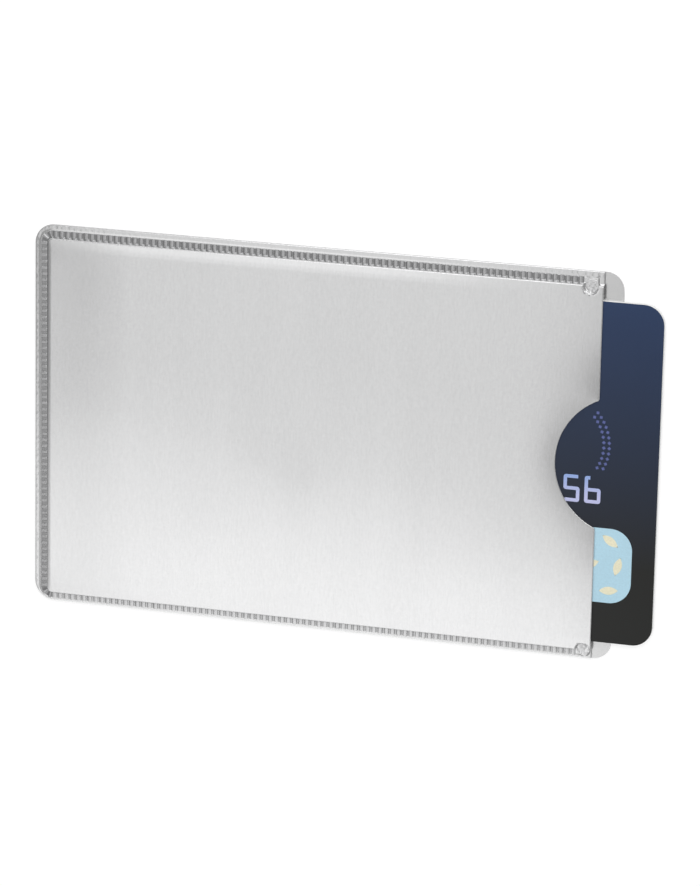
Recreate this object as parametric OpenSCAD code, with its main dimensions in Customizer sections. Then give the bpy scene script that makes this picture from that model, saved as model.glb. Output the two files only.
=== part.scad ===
// Shielding sleeve for one payment card, lying on its back, with a chip card part way out of its mouth.
// X runs along the sleeve towards the mouth, Y across it and Z up through the front film, in millimetres.
// The origin is the middle of the underside of the back film.

/* [Card] */
// Length of the card
card_l = 85.6; // [80:0.1:92]
// Width of the card
card_w = 53.98; // [48:0.02:60]
// Radius of the card's corners
card_r = 3.18; // [1:0.01:6]
// Thickness of the printed film on each face of the card
print_t = 0.05; // [0.03:0.01:0.1]
// Thickness of each of the two white core sheets
core_t = 0.28; // [0.2:0.01:0.4]
// Thickness of the inlay sheet that carries the antenna
inlay_t = 0.1; // [0.08:0.01:0.2]
// How far the card sticks out past the mouth
card_out = 9.5; // [0:0.5:60]

/* [Pocket] */
// Side play of the card in the pocket
pocket_play = 1; // [0.4:0.1:3]
// Gap between the card's lower long edge and the pocket's side
side_gap = 0.1; // [0.05:0.01:0.3]
// Gap at the welded end when the card is pushed home
end_gap = 0.1; // [0.05:0.01:0.5]
// How far the card sits behind the mouth when it is pushed home
mouth_depth = 1.75; // [0.5:0.25:6]
// Gap under the card
gap_below = 0.05; // [0.04:0.01:0.1]
// Gap over the card
gap_above = 0.2; // [0.06:0.01:0.3]
// Height of the step where the front film leaves the seam
lip_h = 0.55; // [0.05:0.05:0.6]
// Width over which the front film climbs from that step onto the card
rise_run = 1.4; // [0.8:0.1:3]

/* [Films] */
// Thickness of the silver cover film
cover_t = 0.12; // [0.08:0.01:0.2]
// Thickness of the shielding foil
foil_t = 0.03; // [0.02:0.01:0.06]
// Thickness of the liner film
liner_t = 0.05; // [0.03:0.01:0.1]
// Radius of the corners at the welded end
corner_r = 3; // [2:0.1:6]
// Length of the back film's tab past the mouth
tab_l = 3; // [1:0.5:8]
// Radius of the tab's corners
tab_r = 2.8; // [1:0.1:6]

/* [Weld seam] */
// Width of the weld channel
seam_w = 1; // [0.8:0.1:2]
// Flange outside the channel along the upper long edge
flange_top = 0.9; // [0.5:0.1:3]
// Flange outside the channel along the lower long edge
flange_low = 0.25; // [0.25:0.05:3]
// Flange outside the channel at the closed end
flange_end = 0.95; // [0.5:0.05:3]
// Distance from the channel's end to the mouth
seam_stop = 0.9; // [0.5:0.1:2]
// Outer radius of the channel's corners
seam_r = 1.9; // [1.6:0.1:3]
// How far the flange stands above the channel
flange_lift = 0.12; // [0.05:0.01:0.3]
// Thickness of the weld bead on the channel's floor
bead_t = 0.03; // [0.02:0.01:0.06]
// Gap between the weld bead and each side of the channel
bead_gap = 0.05; // [0.02:0.01:0.1]
// Spacing of the cross ribs on the bead
rib_pitch = 1; // [0.6:0.1:2]
// Width of a cross rib
rib_w = 0.3; // [0.15:0.05:0.5]
// Height of a cross rib above the bead
rib_h = 0.07; // [0.03:0.01:0.1]

/* [Tack welds] */
// Radius of a tack weld
tack_r = 1.1; // [0.6:0.1:1.1]
// Distance of the upper tack weld from the mouth
tack_top_in = 2; // [1.5:0.1:4]
// Distance of the upper tack weld from the upper long edge
tack_top_down = 2.3; // [1.5:0.1:2.6]
// Distance of the lower tack weld from the mouth
tack_low_in = 1.3; // [1.3:0.1:4]
// Distance of the lower tack weld from the lower long edge
tack_low_up = 1.35; // [1.35:0.05:1.6]
// How far a tack weld stands above the film that is melted into it
tack_proud = 0.06; // [0.02:0.01:0.1]
// Gap round a tack weld in the front films
tack_gap = 0.02; // [0.01:0.01:0.05]

/* [Thumb notch] */
// Radius of the notch
notch_r = 11.1; // [8:0.1:14]
// Depth of the notch from the mouth
notch_depth = 6.6; // [3:0.1:7.5]
// Distance of the notch's middle above the sleeve's middle
notch_up = 0.65; // [-4:0.05:4]
// Radius where the notch meets the mouth
notch_round = 0.5; // [0.2:0.1:1]

/* [Chip] */
// Distance of the chip's middle from the card's inner short edge
chip_in = 15.06; // [12:0.01:20]
// Distance of the chip's middle from the card's upper edge
chip_down = 23.89; // [15:0.01:30]
// Length of the chip module
chip_l = 13; // [11:0.1:14]
// Width of the chip module
chip_w = 11.8; // [10:0.1:13]
// Radius of the chip module's corners
chip_r = 1.5; // [0.5:0.1:3]
// Thickness of the contact plate
contact_t = 0.03; // [0.02:0.01:0.05]
// Width of the grooves between the contacts
groove_w = 0.25; // [0.1:0.05:0.4]
// Width of the middle contact
ground_w = 3.2; // [2:0.1:5]
// Thickness of the module's carrier
carrier_t = 0.2; // [0.1:0.01:0.24]
// Side of the resin block under the carrier
resin_w = 7; // [5:0.1:8]
// Thickness of the resin block
resin_t = 0.28; // [0.2:0.01:0.32]
// Gap round the module and the resin block
chip_gap = 0.05; // [0.02:0.01:0.1]

/* [Antenna] */
// Distance of the antenna's outer turn from the card's edge
coil_in = 3.5; // [2:0.1:6]
// Number of turns
coil_turns = 5; // [2:1:7]
// Spacing of the turns
coil_pitch = 0.6; // [0.4:0.05:0.8]
// Width of a turn
coil_w = 0.25; // [0.1:0.05:0.3]
// Thickness of the antenna
coil_t = 0.05; // [0.03:0.01:0.06]

/* [Magnetic stripe and signature panel] */
// Width of the magnetic stripe
stripe_w = 12.7; // [6:0.1:14]
// Distance of the stripe from the card's upper edge
stripe_down = 4.5; // [3:0.1:6]
// Length of the signature panel
panel_l = 58; // [40:1:64]
// Width of the signature panel
panel_w = 8.5; // [6:0.1:11]
// Distance of the panel from the stripe
panel_down = 4; // [2:0.1:6]
// Distance of the panel from the card's inner short edge
panel_in = 8; // [5:0.5:12]
// Thickness of the stripe and of the panel
stripe_t = 0.02; // [0.01:0.005:0.03]

/* [Raised print] */
// Thickness of the raised ink
ink_t = 0.02; // [0.01:0.005:0.03]
// Height of a digit
digit_h = 4.3; // [3:0.1:5]
// Width of a digit
digit_w = 2.55; // [1.5:0.05:2.8]
// Width of a digit's strokes
stroke_w = 0.55; // [0.3:0.05:0.7]
// Spacing of the digits
digit_pitch = 3.3; // [3.1:0.05:3.6]
// Distance of the last digit from the card's outer short edge
digits_in = 8.85; // [4:0.05:12]
// Distance of the digits from the card's lower edge
digits_up = 22.1; // [20:0.1:24]
// Length of the coloured patch
patch_l = 19; // [12:0.5:24]
// Height of the coloured patch
patch_h = 11.9; // [8:0.1:13]
// Radius of the patch's corners
patch_r = 3.4; // [1:0.1:4]
// Distance of the patch from the card's outer short edge
patch_in = 3.6; // [2:0.1:8]
// Distance of the patch from the card's lower edge
patch_up = 6.45; // [4:0.05:8]
// Length of a leaf on the patch
leaf_l = 3; // [1.5:0.1:4]
// Width of a leaf on the patch
leaf_w = 1.3; // [0.6:0.1:1.6]
// Side of a printed dot
dot_w = 0.42; // [0.2:0.02:0.5]
// Spacing of the dots along their arcs
dot_pitch = 0.85; // [0.6:0.05:1.5]
// Radius of the inner arc of dots
dot_arc_r = 7; // [5:0.5:9]
// Distance of the arcs' middle from the card's outer short edge
dot_in = 15.6; // [14:0.1:20]
// Gap between the digits and the lowest dots
dot_gap = 1; // [0.5:0.1:4]

/* [Hidden] */
$fn = 96;

film_t = liner_t + foil_t + cover_t;
card_t = 2 * print_t + 2 * core_t + inlay_t;

// Heights, from the underside of the back film
card_z = film_t + gap_below;
card_top_z = card_z + card_t;
pocket_z = card_top_z + gap_above;
rise_h = pocket_z - film_t;

// Plan of the sleeve, with x from the closed end and y from the sleeve's middle
side_run = seam_w + film_t + rise_run;
sleeve_w = flange_top + flange_low + 2 * side_run + card_w + pocket_play;
home_x = flange_end + side_run + end_gap;
mouth_x = home_x + card_l + mouth_depth;
back_l = mouth_x + tab_l;
seam_end_x = mouth_x - seam_stop;
top_y = sleeve_w / 2;
low_y = -sleeve_w / 2;

// Place of the card as the sleeve is shown
card_x = mouth_x + card_out - card_l;
card_y = low_y + flange_low + side_run + side_gap;
print_z = card_z + print_t + 2 * core_t + inlay_t;
inlay_z = card_z + print_t + core_t;

// Room for cuts to run past a face
past = 1;
rise_steps = 6;

// Closed outline from zero to l and from zero to w, with one radius at each end
module rounded(l, w, r_start, r_end) {
    difference() {
        square([l, w]);
        for (side = [0, 1]) translate([0, side * w]) mirror([0, side]) {
            corner_cut(r_start);
            translate([l, 0]) mirror([1, 0]) corner_cut(r_end);
        }
    }
}

// What a rounded corner at the origin takes off a square one
module corner_cut(r) {
    difference() {
        translate([-past, -past]) square(r + past);
        translate([r, r]) circle(r);
        translate([r, -past]) square(r + past);
        translate([-past, r]) square(r + past);
    }
}

// Puts a piece drawn from the closed end into the part's own frame
module in_sleeve(x = 0, y = 0, z = 0) {
    translate([x - back_l / 2, y, z]) children();
}

// Puts a piece drawn from the card's lower inner corner into the part's own frame
module in_card(x = 0, y = 0, z = 0) {
    in_sleeve(card_x + x, card_y + y, z) children();
}

// Back films: three flat sheets that run past the mouth as a tab

module back_sheet(z, t) {
    in_sleeve(0, low_y, z) linear_extrude(t) rounded(back_l, sleeve_w, corner_r, tab_r);
}

module back_cover_film() { color([0.78, 0.78, 0.79]) back_sheet(0, cover_t); }

module back_shield_foil() { color([0.68, 0.69, 0.71]) back_sheet(cover_t, foil_t); }

module back_liner_film() { color([0.8, 0.8, 0.8]) back_sheet(cover_t + foil_t, liner_t); }

// Front films: three sheets pressed down in the weld channel and lifted over the card

// Profile of the climb as [distance in, height], reaching the full height at the end
function climb(h) = [for (i = [0:rise_steps])
    [rise_run * i / rise_steps, film_t + lip_h + (rise_h - lip_h) * sin(90 * i / rise_steps) + h]];

// Everything under the upper face of the film whose top lies h above the liner's underside
module under_front(h) {
    skin = film_t - h;
    union() {
        translate([-past, low_y - past, -past])
            cube([mouth_x + 2 * past, sleeve_w + 2 * past, film_t + h + past]);
        difference() {
            translate([-past, low_y - past, -past])
                cube([mouth_x + 2 * past, sleeve_w + 2 * past, film_t + flange_lift + h + past]);
            translate([flange_end - skin, low_y + flange_low - skin, -2 * past])
                linear_extrude(pocket_z + 4 * past)
                rounded(seam_end_x - flange_end + 2 * skin,
                    sleeve_w - flange_top - flange_low + 2 * skin, seam_r + skin, bead_gap + skin);
        }
        raised_field(h, skin);
    }
}

// The field that the card lifts, as the space common to three extrusions
module raised_field(h, skin) {
    x0 = flange_end + seam_w + skin;
    y0 = low_y + flange_low + seam_w + skin;
    y1 = top_y - flange_top - seam_w - skin;
    field_l = mouth_x + past - x0;
    field_w = y1 - y0;
    rise = climb(h);
    intersection() {
        translate([x0, y0, -past / 2]) linear_extrude(pocket_z + 2 * past)
            rounded(field_l, field_w, max(seam_r - seam_w - skin, bead_gap), bead_gap);
        translate([0, y1 + past, 0]) rotate([90, 0, 0]) linear_extrude(field_w + 2 * past)
            polygon(concat([[x0, -past]], [for (p = rise) [x0 + p[0], p[1]]],
                [[mouth_x + 2 * past, pocket_z + h], [mouth_x + 2 * past, -past]]));
        translate([x0 - past, 0, 0]) rotate([90, 0, 90]) linear_extrude(field_l + 2 * past)
            polygon(concat([[y0, -past]], [for (p = rise) [y0 + p[0], p[1]]],
                [for (i = [rise_steps:-1:0]) [y1 - rise[i][0], rise[i][1]]], [[y1, -past]]));
    }
}

// Notch in the mouth, with its two corners rounded. The rounding circles cut a hair into the notch.
notch_overlap = 0.005;

module notch_shape() {
    middle = [mouth_x - notch_depth + notch_r, notch_up];
    translate(middle) circle(notch_r);
    round_x = mouth_x - notch_round;
    reach = sqrt(pow(notch_r + notch_round - notch_overlap, 2) - pow(middle[0] - round_x, 2));
    for (side = [-1, 1]) {
        c = [round_x, middle[1] + side * reach];
        touch = c + (middle - c) * notch_round / norm(middle - c);
        difference() {
            polygon([c, [mouth_x + past, c[1]], [mouth_x + past, touch[1]], touch]);
            translate(c) circle(notch_round);
        }
    }
}

module tack_places() {
    translate([mouth_x - tack_top_in, top_y - tack_top_down]) children();
    translate([mouth_x - tack_low_in, low_y + tack_low_up]) children();
}

module front_sheet(h_low, h_high) {
    in_sleeve() difference() {
        intersection() {
            under_front(h_high);
            translate([0, low_y, -past / 2]) linear_extrude(pocket_z + 2 * past)
                rounded(mouth_x, sleeve_w, corner_r, bead_gap);
        }
        under_front(h_low);
        translate([0, 0, -past]) linear_extrude(pocket_z + 3 * past) {
            notch_shape();
            tack_places() circle(tack_r + tack_gap);
        }
    }
}

module front_liner_film() { color([0.8, 0.8, 0.8]) front_sheet(0, liner_t); }

module front_shield_foil() { color([0.68, 0.69, 0.71]) front_sheet(liner_t, liner_t + foil_t); }

module front_cover_film() { color([0.8, 0.8, 0.81]) front_sheet(liner_t + foil_t, film_t); }

// Weld seam: a fused bead with cross ribs on the channel's floor

bead_w = seam_w - 2 * bead_gap;
bead_start = flange_end + seam_r;
bead_z = 2 * film_t;

// Side view of a bead with ribs, from zero to l
module ribbed_profile(l) {
    count = floor((l - rib_w) / rib_pitch) + 1;
    first = (l - (count - 1) * rib_pitch - rib_w) / 2;
    polygon(concat([[0, 0], [0, bead_t]],
        [for (i = [0:count - 1]) let (x = first + i * rib_pitch)
            each [[x, bead_t], [x, bead_t + rib_h], [x + rib_w, bead_t + rib_h], [x + rib_w, bead_t]]],
        [[l, bead_t], [l, 0]]));
}

module straight_bead(l) {
    translate([0, bead_w, 0]) rotate([90, 0, 0]) linear_extrude(bead_w) ribbed_profile(l);
}

// Bead round a corner of the channel, about the origin, with one rib half way
module corner_bead() {
    rotate_extrude(angle = 90) translate([seam_r - seam_w + bead_gap, 0]) square([bead_w, bead_t]);
    rotate([0, 0, 45]) translate([seam_r - seam_w + 2 * bead_gap, -rib_w / 2, bead_t])
        cube([bead_w - 2 * bead_gap, rib_w, rib_h]);
}

module weld_seam_top() {
    color([0.62, 0.62, 0.63])
        in_sleeve(bead_start, top_y - flange_top - seam_w + bead_gap, bead_z)
        straight_bead(mouth_x - tack_top_in - tack_r - 2 * bead_gap - bead_start);
}

module weld_seam_low() {
    color([0.62, 0.62, 0.63])
        in_sleeve(bead_start, low_y + flange_low + bead_gap, bead_z)
        straight_bead(mouth_x - tack_low_in - tack_r - 2 * bead_gap - bead_start);
}

module weld_seam_end() {
    y0 = low_y + flange_low + seam_r;
    y1 = top_y - flange_top - seam_r;
    color([0.62, 0.62, 0.63]) in_sleeve(0, 0, bead_z) {
        translate([flange_end + bead_gap, y1, 0]) rotate([0, 0, -90]) straight_bead(y1 - y0);
        translate([bead_start, y1, 0]) rotate([0, 0, 90]) corner_bead();
        translate([bead_start, y0, 0]) rotate([0, 0, 180]) corner_bead();
    }
}

module tack(in, y) {
    in_sleeve(mouth_x - in, y, film_t) cylinder(r = tack_r, h = film_t + tack_proud);
}

module tack_weld_top() { color([0.75, 0.75, 0.76]) tack(tack_top_in, top_y - tack_top_down); }

module tack_weld_low() { color([0.75, 0.75, 0.76]) tack(tack_low_in, low_y + tack_low_up); }

// Card: two printed films and two cores laminated round an inlay

module card_sheet(z, t) {
    in_card(0, 0, z) linear_extrude(t) rounded(card_l, card_w, card_r, card_r);
}

// A box of the chip's pocket, wider than the piece in it by the gap all round
module chip_box(l, w, z0, z1) {
    in_card(chip_in - l / 2, card_w - chip_down - w / 2, z0) cube([l, w, z1 - z0]);
}

module_z = card_top_z - contact_t - carrier_t;
resin_z = module_z - resin_t;

module chip_pocket() {
    in_card(chip_in - chip_l / 2 - chip_gap, card_w - chip_down - chip_w / 2 - chip_gap, module_z)
        linear_extrude(card_t)
        rounded(chip_l + 2 * chip_gap, chip_w + 2 * chip_gap, chip_r + chip_gap, chip_r + chip_gap);
    chip_box(resin_w + 2 * chip_gap, resin_w + 2 * chip_gap, resin_z, card_top_z);
}

module stripe_box(t) {
    in_card(-past, card_w - stripe_down - stripe_w, card_z - past)
        cube([card_l + 2 * past, stripe_w, t + past]);
}

module panel_box(z, t) {
    in_card(panel_in, card_w - stripe_down - stripe_w - panel_down - panel_w, z)
        cube([panel_l, panel_w, t]);
}

module card_back_print() {
    color([0.86, 0.86, 0.88]) difference() {
        card_sheet(card_z, print_t);
        stripe_box(stripe_t);
        panel_box(card_z - past, stripe_t + past);
    }
}

module card_magnetic_stripe() {
    color([0.1, 0.09, 0.08]) intersection() {
        card_sheet(card_z, stripe_t);
        stripe_box(stripe_t);
    }
}

module card_signature_panel() { color([0.93, 0.93, 0.9]) panel_box(card_z, stripe_t); }

module card_back_core() {
    color([0.95, 0.95, 0.94]) difference() {
        card_sheet(card_z + print_t, core_t);
        chip_pocket();
    }
}

// Band that the antenna's turns fill, wider than them by the gap on each side
module antenna_bed() {
    edge = coil_in - coil_w / 2 - chip_gap;
    band = (coil_turns - 1) * coil_pitch + coil_w + 2 * chip_gap;
    difference() {
        translate([edge, edge]) square([card_l - 2 * edge, card_w - 2 * edge]);
        translate([edge + band, edge + band])
            square([card_l - 2 * (edge + band), card_w - 2 * (edge + band)]);
    }
    antenna_lead(coil_w + 2 * chip_gap, chip_gap);
}

// Straight strip between two points that share an x or a y
module strip(a, b, w) {
    translate([min(a[0], b[0]) - w / 2, min(a[1], b[1]) - w / 2])
        square([abs(a[0] - b[0]) + w, abs(a[1] - b[1]) + w]);
}

// Lead from the innermost turn to the chip
module antenna_lead(w, reach) {
    last = coil_in + coil_turns * coil_pitch;
    stop_y = card_w - chip_down - resin_w / 2 - chip_gap - w / 2 + reach;
    strip([last - coil_pitch, last], [chip_in, last], w);
    strip([chip_in, last], [chip_in, stop_y], w);
}

module card_inlay() {
    color([0.93, 0.94, 0.93]) difference() {
        card_sheet(inlay_z, inlay_t);
        in_card(0, 0, inlay_z + inlay_t - coil_t) linear_extrude(inlay_t) antenna_bed();
        chip_pocket();
    }
}

module card_antenna() {
    color([0.72, 0.45, 0.28]) in_card(0, 0, inlay_z + inlay_t - coil_t) linear_extrude(coil_t) {
        for (i = [0:coil_turns - 1]) {
            a = coil_in + i * coil_pitch;
            start_x = i == 0 ? a : a - coil_pitch;
            strip([start_x, a], [card_l - a, a], coil_w);
            strip([card_l - a, a], [card_l - a, card_w - a], coil_w);
            strip([a, card_w - a], [card_l - a, card_w - a], coil_w);
            strip([a, a + coil_pitch], [a, card_w - a], coil_w);
        }
        antenna_lead(coil_w, -chip_gap);
    }
}

module card_front_core() {
    color([0.95, 0.95, 0.94]) difference() {
        card_sheet(inlay_z + inlay_t, core_t);
        chip_pocket();
    }
}

module card_front_print() {
    color([0.17, 0.2, 0.29]) difference() {
        card_sheet(print_z, print_t);
        chip_pocket();
    }
}

module card_chip_resin() {
    color([0.1, 0.1, 0.1]) chip_box(resin_w, resin_w, resin_z, module_z);
}

module module_outline() {
    translate([-chip_l / 2, -chip_w / 2]) rounded(chip_l, chip_w, chip_r, chip_r);
}

module card_chip_carrier() {
    color([0.25, 0.35, 0.22]) in_card(chip_in, card_w - chip_down, module_z)
        linear_extrude(carrier_t) module_outline();
}

// Contact plate cut into a middle contact and four contacts on each side
module card_chip_contacts() {
    color([0.85, 0.68, 0.32]) in_card(chip_in, card_w - chip_down, card_top_z - contact_t)
        linear_extrude(contact_t) difference() {
            module_outline();
            for (side = [-1, 1]) {
                translate([side * (ground_w + groove_w) / 2 - groove_w / 2, -chip_w])
                    square([groove_w, 2 * chip_w]);
                for (row = [-1:1])
                    translate([side * (ground_w / 2 + chip_l) - chip_l, row * chip_w / 4 - groove_w / 2])
                        square([2 * chip_l, groove_w]);
            }
        }
}

// Raised print on the card's face

// Segments lit in each digit: top, upper left, upper right, middle, lower left, lower right, bottom
LIT = [
    [1, 1, 1, 0, 1, 1, 1], [0, 0, 1, 0, 0, 1, 0], [1, 0, 1, 1, 1, 0, 1], [1, 0, 1, 1, 0, 1, 1],
    [0, 1, 1, 1, 0, 1, 0], [1, 1, 0, 1, 0, 1, 1], [1, 1, 0, 1, 1, 1, 1], [1, 0, 1, 0, 0, 1, 0],
    [1, 1, 1, 1, 1, 1, 1], [1, 1, 1, 1, 0, 1, 1]
];
digit_groups = 6;
group_digits = 2;
first_digit = 5;

module digit(value) {
    half = (digit_h - stroke_w) / 2;
    for (level = [0:2]) if (LIT[value][6 - 3 * level])
        translate([0, level * half]) square([digit_w, stroke_w]);
    for (upper = [0, 1], right = [0, 1]) if (LIT[value][4 - 3 * upper + right])
        translate([right * (digit_w - stroke_w), upper * half]) square([stroke_w, half + stroke_w]);
}

// Six pairs of digits that count up
module card_digits() {
    row_l = (digit_groups * (group_digits + 1) - 2) * digit_pitch + digit_w;
    color([0.68, 0.71, 0.88]) in_card(card_l - digits_in - row_l, digits_up, card_top_z)
        linear_extrude(ink_t)
        for (g = [0:digit_groups - 1], i = [0:group_digits - 1])
            translate([(g * (group_digits + 1) + i) * digit_pitch, 0])
                digit((first_digit + g * group_digits + i) % 10);
}

module card_colour_patch() {
    color([0.66, 0.82, 0.9]) in_card(card_l - patch_in - patch_l, patch_up, card_top_z)
        linear_extrude(ink_t) rounded(patch_l, patch_h, patch_r, patch_r);
}

module leaf() {
    bow = (leaf_l * leaf_l / leaf_w + leaf_w) / 4;
    intersection_for (side = [-1, 1]) translate([0, side * (bow - leaf_w / 2)]) circle(bow);
}

// Rows of leaves that turn a little from one to the next
module card_patch_leaves() {
    color([0.91, 0.88, 0.74])
        in_card(card_l - patch_in - patch_l, patch_up, card_top_z + ink_t) linear_extrude(ink_t)
        for (row = [0:2], i = [0:3])
            translate([patch_l * (i + 0.6 + 0.3 * (row % 2)) / 4.4, patch_h * (row + 0.5) / 3])
                rotate(35 + 50 * i + 70 * row) leaf();
}

// Arcs of small square dots that start above the digits and open towards them
dot_rings = 2;
dot_first_angle = -30;
dot_sweep = 75;

module card_dots() {
    up = digits_up + digit_h + dot_gap - (dot_arc_r + (dot_rings - 1) * dot_pitch) * sin(dot_first_angle);
    color([0.36, 0.41, 0.68]) in_card(card_l - dot_in, up, card_top_z) linear_extrude(ink_t)
        for (ring = [0:dot_rings - 1])
            let (r = dot_arc_r + ring * dot_pitch, turn = dot_pitch / r * 180 / PI)
            for (i = [0:floor(dot_sweep / turn - ring / 2)])
                rotate(dot_first_angle + (i + ring / 2) * turn) translate([r, 0]) rotate(45)
                    square(dot_w, center = true);
}

back_cover_film();
back_shield_foil();
back_liner_film();
front_liner_film();
front_shield_foil();
front_cover_film();
weld_seam_top();
weld_seam_end();
weld_seam_low();
tack_weld_top();
tack_weld_low();
card_back_print();
card_back_core();
card_inlay();
card_antenna();
card_front_core();
card_front_print();
card_chip_contacts();
card_chip_carrier();
card_chip_resin();
card_magnetic_stripe();
card_signature_panel();
card_digits();
card_colour_patch();
card_patch_leaves();
card_dots();
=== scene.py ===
"""Looks of a shielding sleeve with a chip card part way out of its mouth.

Every class builds and dresses one sub-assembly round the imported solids. Sizes are millimetres in
the part's own frame: x along the sleeve towards its mouth, y across it, z out of the front film.
"""
import logging
import math
import random
from collections.abc import Callable
from dataclasses import dataclass, field, replace
from enum import Enum

import bmesh
import bpy
from mathutils import Matrix, Vector, noise


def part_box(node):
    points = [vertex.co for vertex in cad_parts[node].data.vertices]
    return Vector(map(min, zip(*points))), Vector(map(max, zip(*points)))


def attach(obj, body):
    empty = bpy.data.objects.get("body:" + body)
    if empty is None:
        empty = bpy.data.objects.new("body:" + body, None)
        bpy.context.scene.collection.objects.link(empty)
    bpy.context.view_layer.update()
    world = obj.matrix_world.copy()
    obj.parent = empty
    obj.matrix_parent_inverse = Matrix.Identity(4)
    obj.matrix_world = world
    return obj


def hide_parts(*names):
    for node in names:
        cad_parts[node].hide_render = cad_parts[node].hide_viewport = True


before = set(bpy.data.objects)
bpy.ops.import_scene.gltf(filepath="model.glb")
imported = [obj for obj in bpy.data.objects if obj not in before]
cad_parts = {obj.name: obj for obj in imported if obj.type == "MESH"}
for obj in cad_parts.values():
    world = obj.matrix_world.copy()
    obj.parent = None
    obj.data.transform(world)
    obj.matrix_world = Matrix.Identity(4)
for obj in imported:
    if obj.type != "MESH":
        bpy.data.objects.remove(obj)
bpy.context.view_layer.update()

MM = 0.001
MERGE_GAP = 0.0005
FLAT_MAP = "flat_map"
MAP_SIDE = 0.1
FLANGE_MASK = "flange"
PAINTED_SHADE_MASK = "fused"
GROOVE_SHADE_MASK = "groove_shade"
NOISE_RANGE = (0.3, 0.7)
LEAST_ROUGHNESS = 0.02

log = logging.getLogger("card_sleeve")

Triple = tuple[float, float, float]
Colour = Triple
Sockets = bpy.types.NodeSocket


def covered(gap: float, run: float) -> float:
    """Share of a run that a gap covers, from 0 to 1."""
    return min(1.0, max(0.0, gap / run))


def eased(gap: float, run: float) -> float:
    """Share of a run that a gap covers, steep at its start and level at its end."""
    return 1.0 - (1.0 - covered(gap, run)) ** 2


def arched(gap: float, run: float) -> float:
    """Share of a run that a gap covers, as a quarter of a sine wave."""
    return math.sin(covered(gap, run) * math.pi / 2)


def smooth_step(value: float, low: float, high: float) -> float:
    """S curve from 0 at low to 1 at high, level outside them."""
    t = covered(value - low, high - low)
    return t * t * (3.0 - 2.0 * t)


def even_steps(start: float, end: float, count: int) -> list[float]:
    """Even steps from start to end, without the start itself."""
    return [start + (end - start) * (i + 1) / count for i in range(count)]


# Meshes


def map_grid(bm: bmesh.types.BMesh, columns: int, rows: int, place: Callable[[int, int], Triple]) -> None:
    """Adds a grid and lays each of its vertices where a function says.

    Args:
        bm: mesh that takes the grid.
        columns: number of faces along the first direction.
        rows: number of faces along the second direction.
        place: gives a point in millimetres for a column and a row number.
    """
    half = 1.0
    for vert in bmesh.ops.create_grid(bm, x_segments=columns, y_segments=rows, size=half)["verts"]:
        column = round((vert.co.x + half) / 2 * columns)
        row = round((vert.co.y + half) / 2 * rows)
        vert.co = Vector(place(column, row)) * MM


def copy_faces(bm: bmesh.types.BMesh) -> list[bmesh.types.BMVert]:
    """Copies an open sheet's faces, joined at its edge, and gives the copy's vertices to be moved."""
    made = bmesh.ops.extrude_face_region(bm, geom=bm.faces[:], use_keep_orig=True)["geom"]
    return [part for part in made if isinstance(part, bmesh.types.BMVert)]


def thicken(bm: bmesh.types.BMesh, drop: float) -> None:
    """Makes an open sheet a closed layer that reaches this many millimetres down."""
    bmesh.ops.translate(bm, verts=copy_faces(bm), vec=(0.0, 0.0, -drop * MM))


def close_flat(bm: bmesh.types.BMesh, z: float) -> None:
    """Makes an open sheet a closed layer whose other face is flat at this height in millimetres."""
    for vert in copy_faces(bm):
        vert.co.z = z * MM


def to_object(bm: bmesh.types.BMesh, name: str, crease: float = 40.0) -> bpy.types.Object:
    """Cleans a mesh and makes it an object at the origin.

    Args:
        bm: mesh in metres, freed afterwards.
        name: name of the piece.
        crease: angle in degrees above which an edge stays sharp.

    Returns:
        The new object, linked to the scene.
    """
    bmesh.ops.remove_doubles(bm, verts=bm.verts[:], dist=MERGE_GAP * MM)
    bmesh.ops.dissolve_degenerate(bm, edges=bm.edges[:], dist=MERGE_GAP * MM / 2)
    bmesh.ops.recalc_face_normals(bm, faces=bm.faces[:])
    mesh = bpy.data.meshes.new(name)
    bm.to_mesh(mesh)
    bm.free()
    mesh.shade_smooth()
    mesh.set_sharp_from_angle(angle=math.radians(crease))
    flat_map = mesh.uv_layers.new(name=FLAT_MAP)
    for loop in mesh.loops:
        flat_map.data[loop.index].uv = mesh.vertices[loop.vertex_index].co.xy / MAP_SIDE
    made = bpy.data.objects.new(name, mesh)
    bpy.context.scene.collection.objects.link(made)
    return made


def store_mask(piece: bpy.types.Object, name: str, share: Callable[[float, float, float], float]) -> None:
    """Stores a mask on a piece's vertices.

    Args:
        piece: object that gets the mask.
        name: name of the mask, which the piece's finish reads.
        share: gives the mask's value at x, y and z in millimetres.
    """
    marks = piece.data.attributes.new(name, "FLOAT", "POINT")
    for vert in piece.data.vertices:
        marks.data[vert.index].value = share(*(c / MM for c in vert.co))


# Materials


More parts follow.
